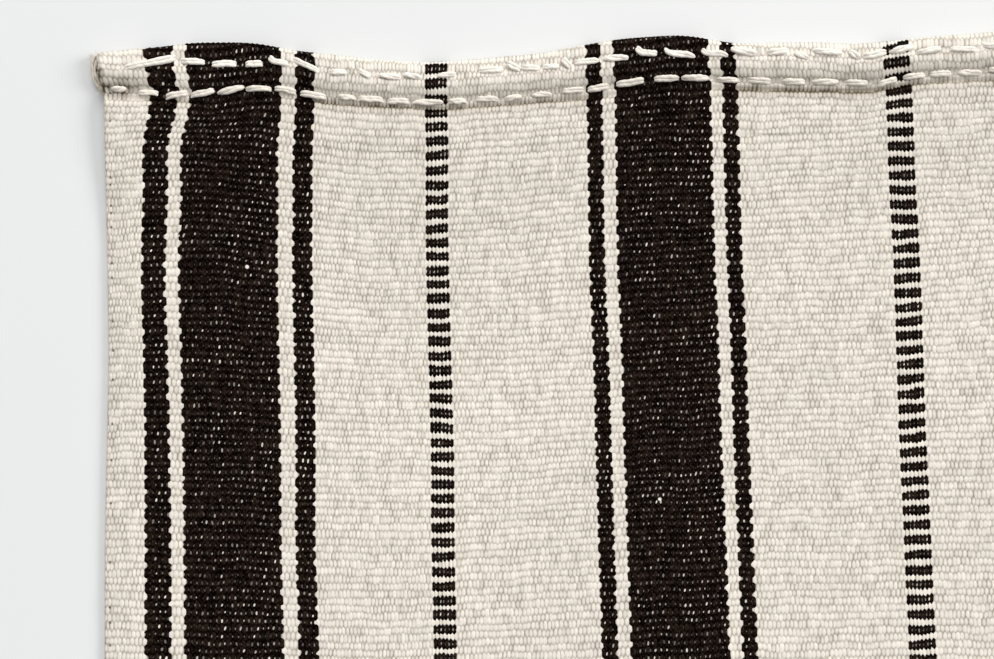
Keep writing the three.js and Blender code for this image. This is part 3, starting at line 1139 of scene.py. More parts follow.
# Thick loose yarns at the far left corner: past the top layer's selvedge, in from the folded end, height.
LOOSE_YARNS = (
    ((-1.6, 1.0, 5.8), (1.0, 2.0, 5.2), (2.6, 5.0, 4.4), (2.8, 9.5, 3.6), (2.2, 14.0, 2.9), (1.0, 17.5, 1.8)),
    ((-1.2, 3.0, 6.2), (0.8, 4.4, 5.4), (1.5, 8.0, 4.6), (1.4, 11.5, 3.8), (0.8, 14.5, 3.0), (0.0, 16.5, 2.6)),
    ((0.2, 2.5, 4.4), (1.9, 4.5, 3.4), (2.2, 8.0, 2.8), (2.9, 12.0, 2.2), (2.0, 15.5, 1.6), (0.6, 17.0, 1.4)),
)


@dataclass
class FrayedCorner:
    """Loose fibres at the open side of a hem, and at one corner some thicker yarns."""

    form: ClothForm
    end: End
    side: int  # -1 for the end's own left selvedge, 1 for its right one
    fibres: int
    seed: int
    yarns: tuple = ()
    steps: int = 7
    yarn_steps: int = 22
    yarn_radius: float = 0.7
    sides: int = 4
    yarn_sides: int = 7

    def _tubes(self, maker: MeshMaker, centre: np.ndarray, size: np.ndarray, sides: int) -> None:
        """Adds closed tubes: centre + size (cos a beside + sin a up), a going round in some sides.

        Args:
            maker: takes them.
            centre: their centre lines, tubes by steps by 3.
            size: their radii, tubes by steps.
            sides: how many.
        """
        along = np.gradient(centre, axis=1)
        along /= np.linalg.norm(along, axis=2, keepdims=True)
        beside = np.cross(along, np.array([0.0, 0.0, 1.0]))
        beside /= np.linalg.norm(beside, axis=2, keepdims=True) + 1e-9
        up = np.cross(beside, along)
        angle = np.linspace(0, 2 * math.pi, sides + 1)[:-1]
        ring = np.cos(angle)[:, None] * beside[:, :, None] + np.sin(angle)[:, None] * up[:, :, None]
        points = centre[:, :, None] + size[:, :, None, None] * ring
        run = np.linalg.norm(np.diff(centre, axis=1), axis=2).cumsum(axis=1)
        run = np.concatenate([np.zeros((len(centre), 1)), run], axis=1)[:, :, None]
        around = np.broadcast_to(angle / (2 * math.pi), points.shape[:3])
        uv = np.stack([around, np.broadcast_to(run, points.shape[:3])], axis=-1)
        numbers = maker.add(points, uv)
        closed = np.concatenate([numbers, numbers[:, :, :1]], axis=2)
        for tube in closed:
            maker.grid(tube, flip=True)
            maker.face(list(tube[0, :-1]))
            maker.face(list(tube[-1, :-1][::-1]))

    def _yarn(self, points: tuple) -> np.ndarray:
        """The centre line of a loose yarn: a smooth curve through its points, with a small wobble."""
        table = np.array(points)
        at = np.linspace(0, len(table) - 1, self.yarn_steps)
        places = np.arange(len(table))
        past, inward, height = (smooth_line(places, column, at) for column in table.T)
        path = self.form.path.at(self.form.arc_on_top(inward, self.end))
        way = self.side * self.end.value
        x = way * (WIDTH / 2 + past + 0.18 * np.sin(2.9 * at + past))[:, None]
        line = self.form.point(x, path, np.zeros((len(at), 1)))[:, 0]
        line[:, 2] = np.minimum(height, line[:, 2] + 0.8)
        return line

    def build(self) -> bpy.types.Object:
        """Makes the fibres.

        Each is a thin tube along start + t out + t^2 bend + a small sine, with t its share of the length.

        Returns:
            The piece.
        """
        rng = np.random.default_rng(self.seed)
        n = self.fibres
        inward = rng.uniform(0.8, 19, n)
        inward[: n // 3] = rng.uniform(0.3, 4.0, n // 3)
        height = rng.uniform(1.0, 7.2, n)
        path = self.form.path.at(self.form.arc_on_top(inward, self.end))
        across = self.side * self.end.value * (WIDTH / 2 - 1.0)
        start = self.form.point(np.full((n, 1), across), path, 0 * inward[:, None])[:, 0]
        start[:, 2] = np.minimum(height, start[:, 2])
        out_way = self.side * self.end.value
        length = rng.uniform(1.8, 5.0, n)
        turn = rng.normal(0, 0.6, n)
        rise = rng.normal(-0.15, 0.25, n)
        out = np.stack([out_way * np.cos(turn), np.sin(turn), rise], axis=1) * length[:, None]
        bend = rng.normal(0, 1, (n, 3)) * np.array([0.6, 1.4, 0.5])
        t = np.linspace(0, 1, self.steps)[None, :, None]
        sway = 0.25 * np.sin(2 * math.pi * (t * 1.3 + rng.random((n, 1, 1)))) * rng.normal(0, 1, (n, 1, 3))
        centre = start[:, None] + t * out[:, None] + t * t * bend[:, None] + t * sway
        centre[..., 2] = np.maximum(centre[..., 2], 0.35)
        size = rng.uniform(0.14, 0.3, (n, 1)) * (1 - 0.6 * np.linspace(0, 1, self.steps)[None, :])
        maker = MeshMaker()
        self._tubes(maker, centre, size, self.sides)
        if self.yarns:
            lines = np.stack([self._yarn(points) for points in self.yarns])
            share = np.linspace(-1, 1, self.yarn_steps)
            thick = self.yarn_radius * (1 - 0.6 * np.abs(share) ** 5) * (1 + 0.12 * np.sin(9 * share))
            self._tubes(maker, lines, np.broadcast_to(thick, lines.shape[:2]), self.yarn_sides)
        hand = "left" if self.side < 0 else "right"
        return maker.object(f"fray_{self.end.name.lower()}_{hand}", YARN_UV)


Value = bpy.types.NodeSocket | float | tuple


class Graph:
    """Short words for adding linked nodes to one node tree."""

    def __init__(self, tree: bpy.types.NodeTree) -> None:
        """Keeps the tree."""
        self.tree = tree

    def node(self, kind: str, **settings: object) -> bpy.types.Node:
        """Adds a node of a kind and sets its properties."""
        made = self.tree.nodes.new(kind)
        for name, value in settings.items():
            setattr(made, name, value)
        return made

    def feed(self, socket: bpy.types.NodeSocket, value: Value) -> None:
        """Links a socket to an output, or sets its number or colour."""
        if isinstance(value, bpy.types.NodeSocket):
            self.tree.links.new(value, socket)
        else:
            socket.default_value = value

    def math(self, operation: str, *values: Value) -> bpy.types.NodeSocket:
        """Adds one Math node on up to three values."""
        made = self.node("ShaderNodeMath", operation=operation)
        for socket, value in zip(made.inputs, values):
            self.feed(socket, value)
        return made.outputs[0]

    def total(self, values: list[Value]) -> bpy.types.NodeSocket:
        """Adds up several values."""
        summed = values[0]
        for value in values[1:]:
            summed = self.math("ADD", summed, value)
        return summed

    def map(self, value: Value, start: float, end: float, low: Value, high: Value, soft: bool = False) -> bpy.types.NodeSocket:
        """Maps a stretch of a value onto another, held at its ends.

        Args:
            value: what is mapped.
            start: where the stretch starts.
            end: where it ends.
            low: the result at its start.
            high: the result at its end.
            soft: whether it eases in and out.

        Returns:
            The mapped value.
        """
        made = self.node("ShaderNodeMapRange", interpolation_type="SMOOTHSTEP" if soft else "LINEAR")
        for socket, given in zip(made.inputs, (value, start, end, low, high)):
            self.feed(socket, given)
        return made.outputs[0]

    def vector(self, x: Value, y: Value, z: Value = 0.0) -> bpy.types.NodeSocket:
        """Combines three values."""
        made = self.node("ShaderNodeCombineXYZ")
        for socket, value in zip(made.inputs, (x, y, z)):
            self.feed(socket, value)
        return made.outputs[0]

    def parts(self, vector: Value) -> tuple:
        """Splits a vector or colour into three values."""
        made = self.node("ShaderNodeSeparateXYZ")
        self.feed(made.inputs[0], vector)
        return tuple(made.outputs)

    def mix(self, share: Value, first: Value, second: Value) -> bpy.types.NodeSocket:
        """Mixes two values."""
        made = self.node("ShaderNodeMix", data_type="FLOAT")
        self.feed(made.inputs[0], share)
        self.feed(made.inputs[2], first)
        self.feed(made.inputs[3], second)
        return made.outputs[0]

    def colour(self, share: Value, first: Value, second: Value, blend: str = "MIX") -> bpy.types.NodeSocket:
        """Mixes two colours."""
        made = self.node("ShaderNodeMix", data_type="RGBA", blend_type=blend)
        self.feed(made.inputs[0], share)
        self.feed(made.inputs[6], first)
        self.feed(made.inputs[7], second)
        return made.outputs[2]

    def noise(self, vector: Value, scale: float, detail: float = 2.0, rough: float = 0.5) -> tuple:
        """Adds smooth noise and returns its value and its colour."""
        made = self.node("ShaderNodeTexNoise", noise_dimensions="3D")
        self.feed(made.inputs["Vector"], vector)
        made.inputs["Scale"].default_value = scale
        made.inputs["Detail"].default_value = detail
        made.inputs["Roughness"].default_value = rough
        return made.outputs[0], made.outputs[1]

    def chance(self, vector: Value) -> tuple:
        """Adds a random value and a random colour for each place."""
        made = self.node("ShaderNodeTexWhiteNoise", noise_dimensions="3D")
        self.feed(made.inputs["Vector"], vector)
        return made.outputs[0], made.outputs[1]


def new_group(name: str, inputs: dict[str, float], outputs: dict[str, str]) -> tuple:
    """Starts a shader node group.

    Args:
        name: of the group.
        inputs: names of its number inputs, with their usual values.
        outputs: names of its outputs, with Float or Color for each.

    Returns:
        The group's tree, its graph, its input sockets by name and its output node.
    """
    tree = bpy.data.node_groups.new(name, "ShaderNodeTree")
    for label, usual in inputs.items():
        socket = tree.interface.new_socket(name=label, in_out="INPUT", socket_type="NodeSocketFloat")
        socket.default_value = usual
    for label, kind in outputs.items():
        tree.interface.new_socket(name=label, in_out="OUTPUT", socket_type="NodeSocket" + kind)
    graph = Graph(tree)
    start = graph.node("NodeGroupInput")
    end = graph.node("NodeGroupOutput")
    return tree, graph, start.outputs, end.inputs


@dataclass(frozen=True)
class WarpFacedWeave:
    """Plain weave whose warps hide the weft: each warp floats over one pick and dives under the next.

    The floats stand in two sets, at even warps over even picks and at odd warps over odd picks. Each is a
    lens, 1 - crown |du|^2.2 - |dv / reach|^3, and the higher one shows, so that their tips interlock. How
    round a float looks is 1 - bulge |du|^2.2 - valley |dv|^2.3 - corner |du|^2.2 |dv|^2.
    """

    crown: float = 0.85
    crown_black: float = 1.3
    reach: float = 0.61
    bulge: float = 0.42
    valley: float = 1.45
    corner: float = 0.9
    slant: float = 0.16
    wander_across: float = 1.1
    wander_along: float = 0.8
    sway_along: float = 0.6
    stout: float = 1.0  # how far the thicker black yarn stands over the white
    slub: float = 0.4  # and a thick place of a warp over the rest of it

    def group(self) -> bpy.types.NodeTree:
        """Builds the group.

        Returns:
            The group, which takes Across and Pick and gives the Height of the yarn, whether it is Black,
            the Speck of weft and its tone, chance values for each Float and each Warp, and the Tip, which
            is how far along its float a place lies.
        """
        tree, g, given, out = new_group(
            "warp_faced_weave",
            {"Across": 0.0, "Pick": 0.0},
            {"Height": "Float", "Black": "Float", "Speck": "Float", "Speck Tone": "Float", "Float": "Float",
             "Warp": "Float", "Tip": "Float"},
        )
        across, pick = self._swayed(g, given["Across"], given["Pick"])
        u = self._warp_count(g, across)
        merge = g.noise(g.vector(g.math("MULTIPLY", across, 0.16), g.math("MULTIPLY", pick, 0.3), 5.0), 1.0, 2.0)[0]
        bulge = g.map(merge, 0.35, 0.65, 1.35 * self.bulge, 0.3 * self.bulge)
        sets = [self._set(g, u, pick, bulge, q) for q in (0.0, 1.0)]
        first = g.math("GREATER_THAN", sets[0]["height"], sets[1]["height"])

        def winner(name: str) -> Value:
            """Takes one value of the higher set."""
            return g.mix(first, sets[1][name], sets[0][name])

        g.feed(out["Height"], winner("bare"))
        g.feed(out["Black"], winner("black"))
        speck, tone = self._specks(g, sets, across, pick)
        g.feed(out["Speck"], speck)
        g.feed(out["Speck Tone"], tone)
        g.feed(out["Float"], g.chance(g.vector(winner("warp"), winner("pick"), 0.0))[0])
        g.feed(out["Warp"], g.chance(g.vector(winner("warp"), 0.0, 7.0))[0])
        g.feed(out["Tip"], winner("dv"))
        return tree

    def _swayed(self, g: Graph, across: Value, pick: Value) -> tuple[Value, Value]:
        """Moves the threads a little off their straight lines, by smooth noise of two sizes."""
        near = g.vector(g.math("MULTIPLY", across, 0.11), g.math("MULTIPLY", pick, 0.5))
        shift_x, shift_y, _ = g.parts(g.noise(near, 1.0, 2.0)[1])
        wide = g.vector(g.math("MULTIPLY", across, 0.05), g.math("MULTIPLY", pick, 0.035), 9.0)
        sway = g.noise(wide, 1.0, 1.0)[0]
        moved = g.math("MULTIPLY_ADD", g.math("SUBTRACT", shift_y, 0.5), self.wander_along, pick)
        moved = g.math("MULTIPLY_ADD", g.math("SUBTRACT", sway, 0.5), self.sway_along, moved)
        return g.math("MULTIPLY_ADD", g.math("SUBTRACT", shift_x, 0.5), self.wander_across, across), moved

    def _warp_count(self, g: Graph, across: Value) -> Value:
        """Counts ends from the middle: |x| / pitch, and in each stripe of another pitch its own count instead."""
        away = g.math("ABSOLUTE", across)
        counts = [g.math("DIVIDE", away, WHITE_PITCH)]
        place = 0.0
        for stripe in reversed(HALF_PLAN):
            more = stripe.ends - stripe.width / WHITE_PITCH
            if abs(more) > 0.01:
                counts.append(g.map(away, place, place + stripe.width, 0.0, more))
            place += stripe.width
        return g.math("MULTIPLY", g.total(counts), g.math("SIGN", across))

    def _set(self, g: Graph, u: Value, v: Value, bulge: Value, q: float) -> dict[str, Value]:
        """One set of floats: the nearest one's warp and pick, the place on it and its lens height."""
        u0, v0 = g.math("SUBTRACT", u, 0.5), g.math("SUBTRACT", v, 0.5)
        du = g.math("WRAP", g.math("SUBTRACT", u0, q), 1.0, -1.0)
        dv = g.math("WRAP", g.math("SUBTRACT", v0, q), 1.0, -1.0)
        warp = g.math("ROUND", g.math("SUBTRACT", u0, du))
        over = g.math("ROUND", g.math("SUBTRACT", v0, dv))
        _, luck = g.chance(g.vector(warp, over, 3.0))
        luck_x, luck_y, luck_z = g.parts(luck)
        lean = g.math("MULTIPLY_ADD", dv, g.map(luck_x, 0.0, 1.0, self.slant * 0.2, self.slant * 1.8), du)
        lean = g.math("ABSOLUTE", g.math("ADD", lean, g.map(luck_y, 0.0, 1.0, -0.2, 0.2)))
        wide = g.math("POWER", lean, 2.2)
        long = g.math("POWER", g.math("ABSOLUTE", g.math("DIVIDE", dv, self.reach)), 3.0)
        swell = g.noise(g.vector(g.math("MULTIPLY", warp, 5.37), g.math("MULTIPLY", v, 0.4), 2.0), 1.0, 1.0)[0]
        top = g.math("ADD", g.map(luck_z, 0.0, 1.0, 0.93, 1.05), g.map(swell, 0.35, 0.7, -0.1, 0.16))
        thick = g.noise(g.vector(g.math("MULTIPLY", warp, 3.13), g.math("MULTIPLY", v, 0.1), 27.0), 1.0, 1.0)[0]
        top = g.math("ADD", top, g.map(thick, 0.66, 0.82, 0.0, self.slub, soft=True))
        black = self._black(g, warp, q)
        thick = g.chance(g.vector(warp, 0.0, 17.0))[0]
        stout = g.math("MULTIPLY", black, g.map(thick, 0.0, 1.0, 0.75 * self.stout, 1.4 * self.stout))
        height = g.math("SUBTRACT", g.math("ADD", stout, top), long)
        height = g.math("SUBTRACT", height, g.math("MULTIPLY", wide, g.mix(black, self.crown, self.crown_black)))
        steep = g.math("ABSOLUTE", dv)
        fall = g.map(luck_x, 0.0, 1.0, 0.7 * self.valley, 1.3 * self.valley)
        fall = g.math("MULTIPLY", g.math("POWER", steep, 2.3), fall)
        corner = g.math("MULTIPLY", g.math("POWER", steep, 2.0), self.corner)
        beside = g.math("MULTIPLY", wide, g.math("ADD", bulge, corner))
        bare = g.math("SUBTRACT", g.math("SUBTRACT", top, fall), beside)
        return {"du": du, "dv": dv, "warp": warp, "pick": over, "bare": bare, "black": black, "height": height}

    def _black(self, g: Graph, warp: Value, q: float) -> Value:
        """1 on a black warp: any in a black band, and those of the first set in a ladder."""
        place = g.math("ABSOLUTE", g.math("ADD", warp, 0.5))
        found = []
        for band in bands():
            if band.yarn is Yarn.LADDER and q:
                continue
            if band.first == 0:
                found.append(g.math("COMPARE", place, 0.0, float(band.last)))
            else:
                half = (band.last - band.first) / 2
                found.append(g.math("COMPARE", place, band.first + half, half))
        return g.total(found)

    def _specks(self, g: Graph, sets: list[dict[str, Value]], across: Value, pick: Value) -> tuple[Value, Value]:
        """Weft that peeps out between two neighbouring floats of one pick: small upright ellipses, bright
        in some runs of a pick and dull in others."""
        patch = g.noise(g.vector(g.math("MULTIPLY", across, 0.045), g.math("MULTIPLY", pick, 0.13), 14.0), 1.0, 2.0)[0]
        masks, tones = [], []
        for here, other in ((sets[0], sets[1]), (sets[1], sets[0])):
            _, luck = g.chance(g.vector(other["warp"], here["pick"], 11.0))
            size, tone, turn = g.parts(luck)
            lean = g.math("MULTIPLY_ADD", here["dv"], g.map(turn, 0.0, 1.0, -0.5, 0.9), other["du"])
            lean = g.math("ADD", lean, g.map(tone, 0.0, 1.0, 0.22, -0.22))
            wide = g.math("POWER", g.math("ABSOLUTE", g.math("DIVIDE", lean, 0.36)), 2.0)
            long = g.math("POWER", g.math("ABSOLUTE", g.math("DIVIDE", here["dv"], 0.24)), 2.0)
            spread = g.math("SUBTRACT", g.map(size, 0.0, 1.0, 0.25, 1.2), g.math("ADD", wide, long))
            masks.append(g.map(spread, 0.0, 0.45, 0.0, 1.0, soft=True))
            run = g.noise(g.vector(g.math("MULTIPLY", across, 0.07), g.math("MULTIPLY", here["pick"], 1.7), 4.0), 1.0, 1.0)[0]
            run = g.math("MULTIPLY", g.map(run, 0.36, 0.7, 0.3, 1.0), g.map(patch, 0.38, 0.6, 0.4, 1.2))
            gap = g.math("ADD", other["warp"], 0.37 * len(tones))
            own = g.map(g.math("POWER", g.chance(g.vector(gap, 0.0, 31.0))[0], 1.5), 0.0, 1.0, 0.2, 2.0)
            slow = g.noise(g.vector(g.math("MULTIPLY", gap, 7.31), g.math("MULTIPLY", here["pick"], 0.12), 40.0), 1.0, 1.0)[0]
            own = g.math("MULTIPLY", own, g.map(slow, 0.35, 0.65, 0.45, 1.35))
            tone = g.math("MULTIPLY", run, g.map(g.math("POWER", turn, 1.6), 0.0, 1.0, 0.35, 1.35))
            tones.append(g.math("MULTIPLY", tone, own))
        nearer = g.math("GREATER_THAN", masks[0], masks[1])
        return g.math("MAXIMUM", *masks), g.mix(nearer, tones[1], tones[0])


@dataclass(frozen=True)
class YarnFibre:
    """Fine fibres along a yarn: noise drawn out along it."""

    def group(self) -> bpy.types.NodeTree:
        """Builds the group, which takes places across and along in millimetres and gives a value from 0 to 1."""
        tree, g, given, out = new_group(
            "yarn_fibre", {"Across": 0.0, "Along": 0.0, "Width": 0.4, "Length": 3.0}, {"Fibre": "Float"}
        )
        place = g.vector(g.math("DIVIDE", given["Across"], given["Width"]), g.math("DIVIDE", given["Along"], given["Length"]))
        g.feed(out["Fibre"], g.noise(place, 1.0, 1.5)[0])
        return tree


def linear(red: int, green: int, blue: int) -> tuple[float, float, float, float]:
    """Turns a screen colour of 0 to 255 into a linear one, by the sRGB curve."""
    shares = np.array([red, green, blue]) / 255
    made = np.where(shares <= 0.04045, shares / 12.92, ((shares + 0.055) / 1.055) ** 2.4)
    return (*(float(v) for v in made), 1.0)


def new_material(name: str) -> tuple[bpy.types.Material, Graph, bpy.types.Node]:
    """Starts a material with only a Principled BSDF and its output."""
    material = bpy.data.materials.new(name)
    material.use_nodes = True
    material.node_tree.nodes.clear()
    graph = Graph(material.node_tree)
    shader = graph.node("ShaderNodeBsdfPrincipled")
    output = graph.node("ShaderNodeOutputMaterial")
    graph.feed(output.inputs["Surface"], shader.outputs[0])
    return material, graph, shader


def place_group(graph: Graph, tree: bpy.types.NodeTree, inputs: dict[str, Value]) -> bpy.types.Node:
    """Adds a group node and feeds its inputs."""
    made = graph.node("ShaderNodeGroup", node_tree=tree)
    for name, value in inputs.items():
        graph.feed(made.inputs[name], value)
    return made


# Knots of white weft in the black stripes: across from the middle, pick, radius in millimetres.
TUFTS = ((-324.2, 39.5, 1.1), (-125.0, 72.0, 1.0))


@dataclass(frozen=True)
class HempClothFinish:
    """The finish of the woven hemp: bleached and black-brown warps, with the weft's specks between, and painted shade
    and highlight in its colour.
    """

    weave: bpy.types.NodeTree
    fibre: bpy.types.NodeTree
    white: tuple = linear(225, 218, 208)
    # Colour of the white in painted shade, in the valleys between floats.
    white_deep: tuple = linear(164, 156, 144)
    black: tuple = linear(28, 19, 15)
    # Colour of the black in painted shade, in the valleys between floats.
    black_deep: tuple = linear(3, 1, 0)
    # Painted highlight along fine fibres on the crests of the black floats.
    fibre_highlight: tuple = linear(78, 68, 62)
    speck_dim: tuple = linear(36, 30, 27)
    speck_bright: tuple = linear(222, 216, 207)
    # Colour multiplied in for soil and painted shade.
    soil_and_painted_light: tuple = linear(128, 121, 106)
    # Colour of the painted shade in the pits by the selvedge.
    pit: tuple = linear(74, 60, 48)
    relief: float = 0.37  # of a float over its edges, in mm
    pucker: float = 0.6
    pit_from_middle: float = 392.3
    painted_highlight: float = 0.15  # how much lighter the hem is painted between the folded end and the upper row: a painted highlight
    tufts: tuple = TUFTS

    def _selvedge_pit_shade(self, g: Graph, across: Value, pick: Value) -> Value:
        """Painted shade in small pits by the selvedge, where the weft turns, between some of the picks."""
        away = g.math("ABSOLUTE", across)
        near = g.math("ROUND", pick)
        chosen = g.math("GREATER_THAN", g.chance(g.vector(near, g.math("SIGN", across), 21.0))[0], 0.72)
        beside = g.map(g.math("ABSOLUTE", g.math("SUBTRACT", away, self.pit_from_middle)), 0.2, 0.8, 1.0, 0.0, soft=True)
        along = g.map(g.math("ABSOLUTE", g.math("SUBTRACT", pick, near)), 0.08, 0.26, 0.85, 0.0, soft=True)
        return g.math("MULTIPLY", chosen, g.math("MULTIPLY", beside, along))

    def _tufts(self, g: Graph, across: Value, along: Value) -> Value:
        """The few places where a knot of white weft shows in a black stripe: small soft discs."""
        found = []
        for place, pick, radius in self.tufts:
            away = g.vector(g.math("SUBTRACT", across, place), g.math("SUBTRACT", along, pick * PITCH), 0.0)
            length = g.node("ShaderNodeVectorMath", operation="LENGTH")
            g.feed(length.inputs[0], away)
            found.append(g.map(length.outputs["Value"], 0.7 * radius, radius, 1.0, 0.0, soft=True))
        return g.total(found)

    def material(self) -> bpy.types.Material:
        """Builds the material."""
        made, g, shader = new_material("hemp_cloth")
        uv = g.node("ShaderNodeUVMap", uv_map=WEAVE_UV)
        across, pick, _ = g.parts(uv.outputs[0])
        weave = place_group(g, self.weave, {"Across": across, "Pick": pick}).outputs
        along = g.math("MULTIPLY", pick, PITCH)
        fibre = place_group(g, self.fibre, {"Across": across, "Along": along, "Width": 0.45, "Length": 2.6}).outputs[0]
        patches = g.noise(g.vector(g.math("DIVIDE", across, 90), g.math("DIVIDE", along, 130)), 1.0, 3.0)[0]
        blotch = g.noise(g.vector(g.math("DIVIDE", across, 5), g.math("DIVIDE", along, 5), 6.0), 1.0, 2.0)[0]
        height = weave["Height"]
        soil_and_painted_light = g.node("ShaderNodeAttribute", attribute_name=SOIL_AND_PAINTED_LIGHT).outputs["Fac"]
        # Painted shade: the colour darkens where a float's height falls, in the valleys between floats, and on the
        # lower tips of the floats.
        under = g.map(weave["Tip"], 0.15, 0.6, 0.0, 0.2, soft=True)
        lit = g.math("MAXIMUM", g.math("SUBTRACT", g.map(height, 0.35, 0.95, 0.0, 1.0), under), 0.0)
        tone = g.total(
            [
                g.map(weave["Float"], 0.0, 1.0, -0.045, 0.045),
                g.map(weave["Warp"], 0.0, 1.0, -0.03, 0.03),
                g.map(fibre, 0.25, 0.75, -0.07, 0.07),
                g.map(blotch, 0.3, 0.7, -0.035, 0.035),
                g.map(patches, 0.3, 0.7, -0.035, 0.03),
                g.map(soil_and_painted_light, -1.0, 0.0, self.painted_highlight, 0.0),
                1.0,
            ]
        )
        tone_colour = g.vector(tone, tone, tone)
        pale = g.colour(lit, self.white_deep, self.white)
        pale = g.colour(1.0, pale, tone_colour, "MULTIPLY")
        dark = g.colour(g.math("POWER", lit, 1.5), self.black_deep, self.black)
        shine = g.math("MULTIPLY", g.map(weave["Float"], 0.0, 1.0, 0.4, 1.4), g.map(fibre, 0.25, 0.75, 0.3, 1.7))
        dark = g.colour(1.0, dark, g.vector(shine, shine, shine), "MULTIPLY")
        # Painted highlight along fine fibres of the black floats, on their crests.
        fine = g.noise(g.vector(g.math("DIVIDE", across, 0.45), g.math("DIVIDE", along, 1.3), 33.0), 1.0, 1.0)[0]
        dark = g.colour(g.math("MULTIPLY", g.map(fine, 0.56, 0.78, 0.0, 0.8), lit), dark, self.fibre_highlight)
        speck_colour = g.colour(g.math("MINIMUM", weave["Speck Tone"], 1.0), self.speck_dim, self.speck_bright)
        speck = g.math("MULTIPLY", weave["Speck"], g.map(soil_and_painted_light, 0.1, 0.6, 1.0, 0.0))
        dark = g.colour(speck, dark, speck_colour)
        base = g.colour(weave["Black"], pale, dark)
        base = g.colour(self._tufts(g, across, along), base, self.white)
        # Painted shade in the pits by the selvedge.
        base = g.colour(self._selvedge_pit_shade(g, across, pick), base, self.pit)
        # Soil and painted shade, stronger in the valleys between floats; the painted highlight below zero lightens the
        # tone above.
        soiled_and_shaded = g.math("MULTIPLY", g.math("MAXIMUM", soil_and_painted_light, 0.0), g.map(lit, 0.0, 1.0, 1.3, 0.72))
        base = g.colour(soiled_and_shaded, base, self.soil_and_painted_light, "MULTIPLY")
        g.feed(shader.inputs["Base Color"], base)
        g.feed(shader.inputs["Roughness"], g.map(fibre, 0.2, 0.8, 0.86, 0.98))
        shader.inputs["Specular IOR Level"].default_value = 0.0
        relief = g.math("MULTIPLY", g.math("MAXIMUM", height, 0.0), self.relief)
        relief = g.math("MULTIPLY_ADD", fibre, 0.05, relief)
        hollow = g.noise(g.vector(g.math("DIVIDE", across, 15), g.math("DIVIDE", along, 12), 8.0), 1.0, 2.0)[0]
        relief = g.math("MULTIPLY_ADD", hollow, self.pucker, relief)
        bump = g.node("ShaderNodeBump")
        bump.inputs["Strength"].default_value = 1.0
        bump.inputs["Distance"].default_value = MM
        g.feed(bump.inputs["Height"], relief)
        g.feed(shader.inputs["Normal"], bump.outputs[0])
        return made


# Colours of the sewing yarn: on its face, then between its plies and along darker fibres, with painted shade in the
# ply grooves. The lower row's are darker: painted shade of the groove it lies in, and a little soil.
SEWING_COLOURS = {
    Row.UPPER: (linear(244, 238, 229), linear(214, 206, 195)),
    Row.LOWER: (linear(234, 227, 217), linear(200, 191, 178)),
}


@dataclass(frozen=True)
class SewingYarnFinish:
    """The finish of the sewing yarn: off-white, loosely plied, matt."""

    fibre: bpy.types.NodeTree
    row: Row

    def material(self) -> bpy.types.Material:
        """Builds the material. The lower row's colours are darker: painted shade of the groove it lies in, and a
        little soil.
        """
        made, g, shader = new_material(f"sewing_yarn_{self.row.name.lower()}")
        colour, deep = SEWING_COLOURS[self.row]
        uv = g.node("ShaderNodeUVMap", uv_map=YARN_UV)
        around, along, _ = g.parts(uv.outputs[0])
        turned = g.math("MULTIPLY_ADD", along, 0.12, around)
        ply = g.math("PINGPONG", g.math("MULTIPLY", turned, 4.0), 1.0)
        fibre = place_group(g, self.fibre, {"Across": turned, "Along": along, "Width": 0.07, "Length": 5.0}).outputs[0]
        share = g.math("MULTIPLY_ADD", ply, 0.25, g.math("MULTIPLY", fibre, 1.1))
        g.feed(shader.inputs["Base Color"], g.colour(g.map(share, 0.35, 0.75, 0.0, 1.0), deep, colour))
        g.feed(shader.inputs["Roughness"], g.map(fibre, 0.2, 0.8, 0.78, 0.92))
        shader.inputs["Specular IOR Level"].default_value = 0.03
        bump = g.node("ShaderNodeBump")
        bump.inputs["Strength"].default_value = 1.0
        bump.inputs["Distance"].default_value = MM
        g.feed(bump.inputs["Height"], g.math("MULTIPLY", share, 0.13))
        g.feed(shader.inputs["Normal"], bump.outputs[0])
        return made


@dataclass(frozen=True)
class FrayFinish:
    """The finish of the loose fibres at the corners: raw hemp, greyed by use."""

    fibre: bpy.types.NodeTree
    colour: tuple = linear(244, 237, 226)
    deep: tuple = linear(208, 194, 174)

    def material(self) -> bpy.types.Material:
        """Builds the material."""
        made, g, shader = new_material("frayed_hemp")
        place = g.node("ShaderNodeTexCoord").outputs["Object"]
        x, y, z = g.parts(place)
        spots = g.noise(g.vector(x, y, z), 320.0, 2.0)[0]
        uv = g.node("ShaderNodeUVMap", uv_map=YARN_UV)
        around, along, _ = g.parts(uv.outputs[0])
        fibre = place_group(g, self.fibre, {"Across": around, "Along": along, "Width": 0.2, "Length": 2.0}).outputs[0]
        share = g.math("MULTIPLY_ADD", fibre, 0.5, spots)
        g.feed(shader.inputs["Base Color"], g.colour(g.map(share, 0.5, 1.0, 0.0, 1.0), self.deep, self.colour))
        g.feed(shader.inputs["Roughness"], g.map(fibre, 0.2, 0.8, 0.85, 0.98))
        shader.inputs["Specular IOR Level"].default_value = 0.1
        return made


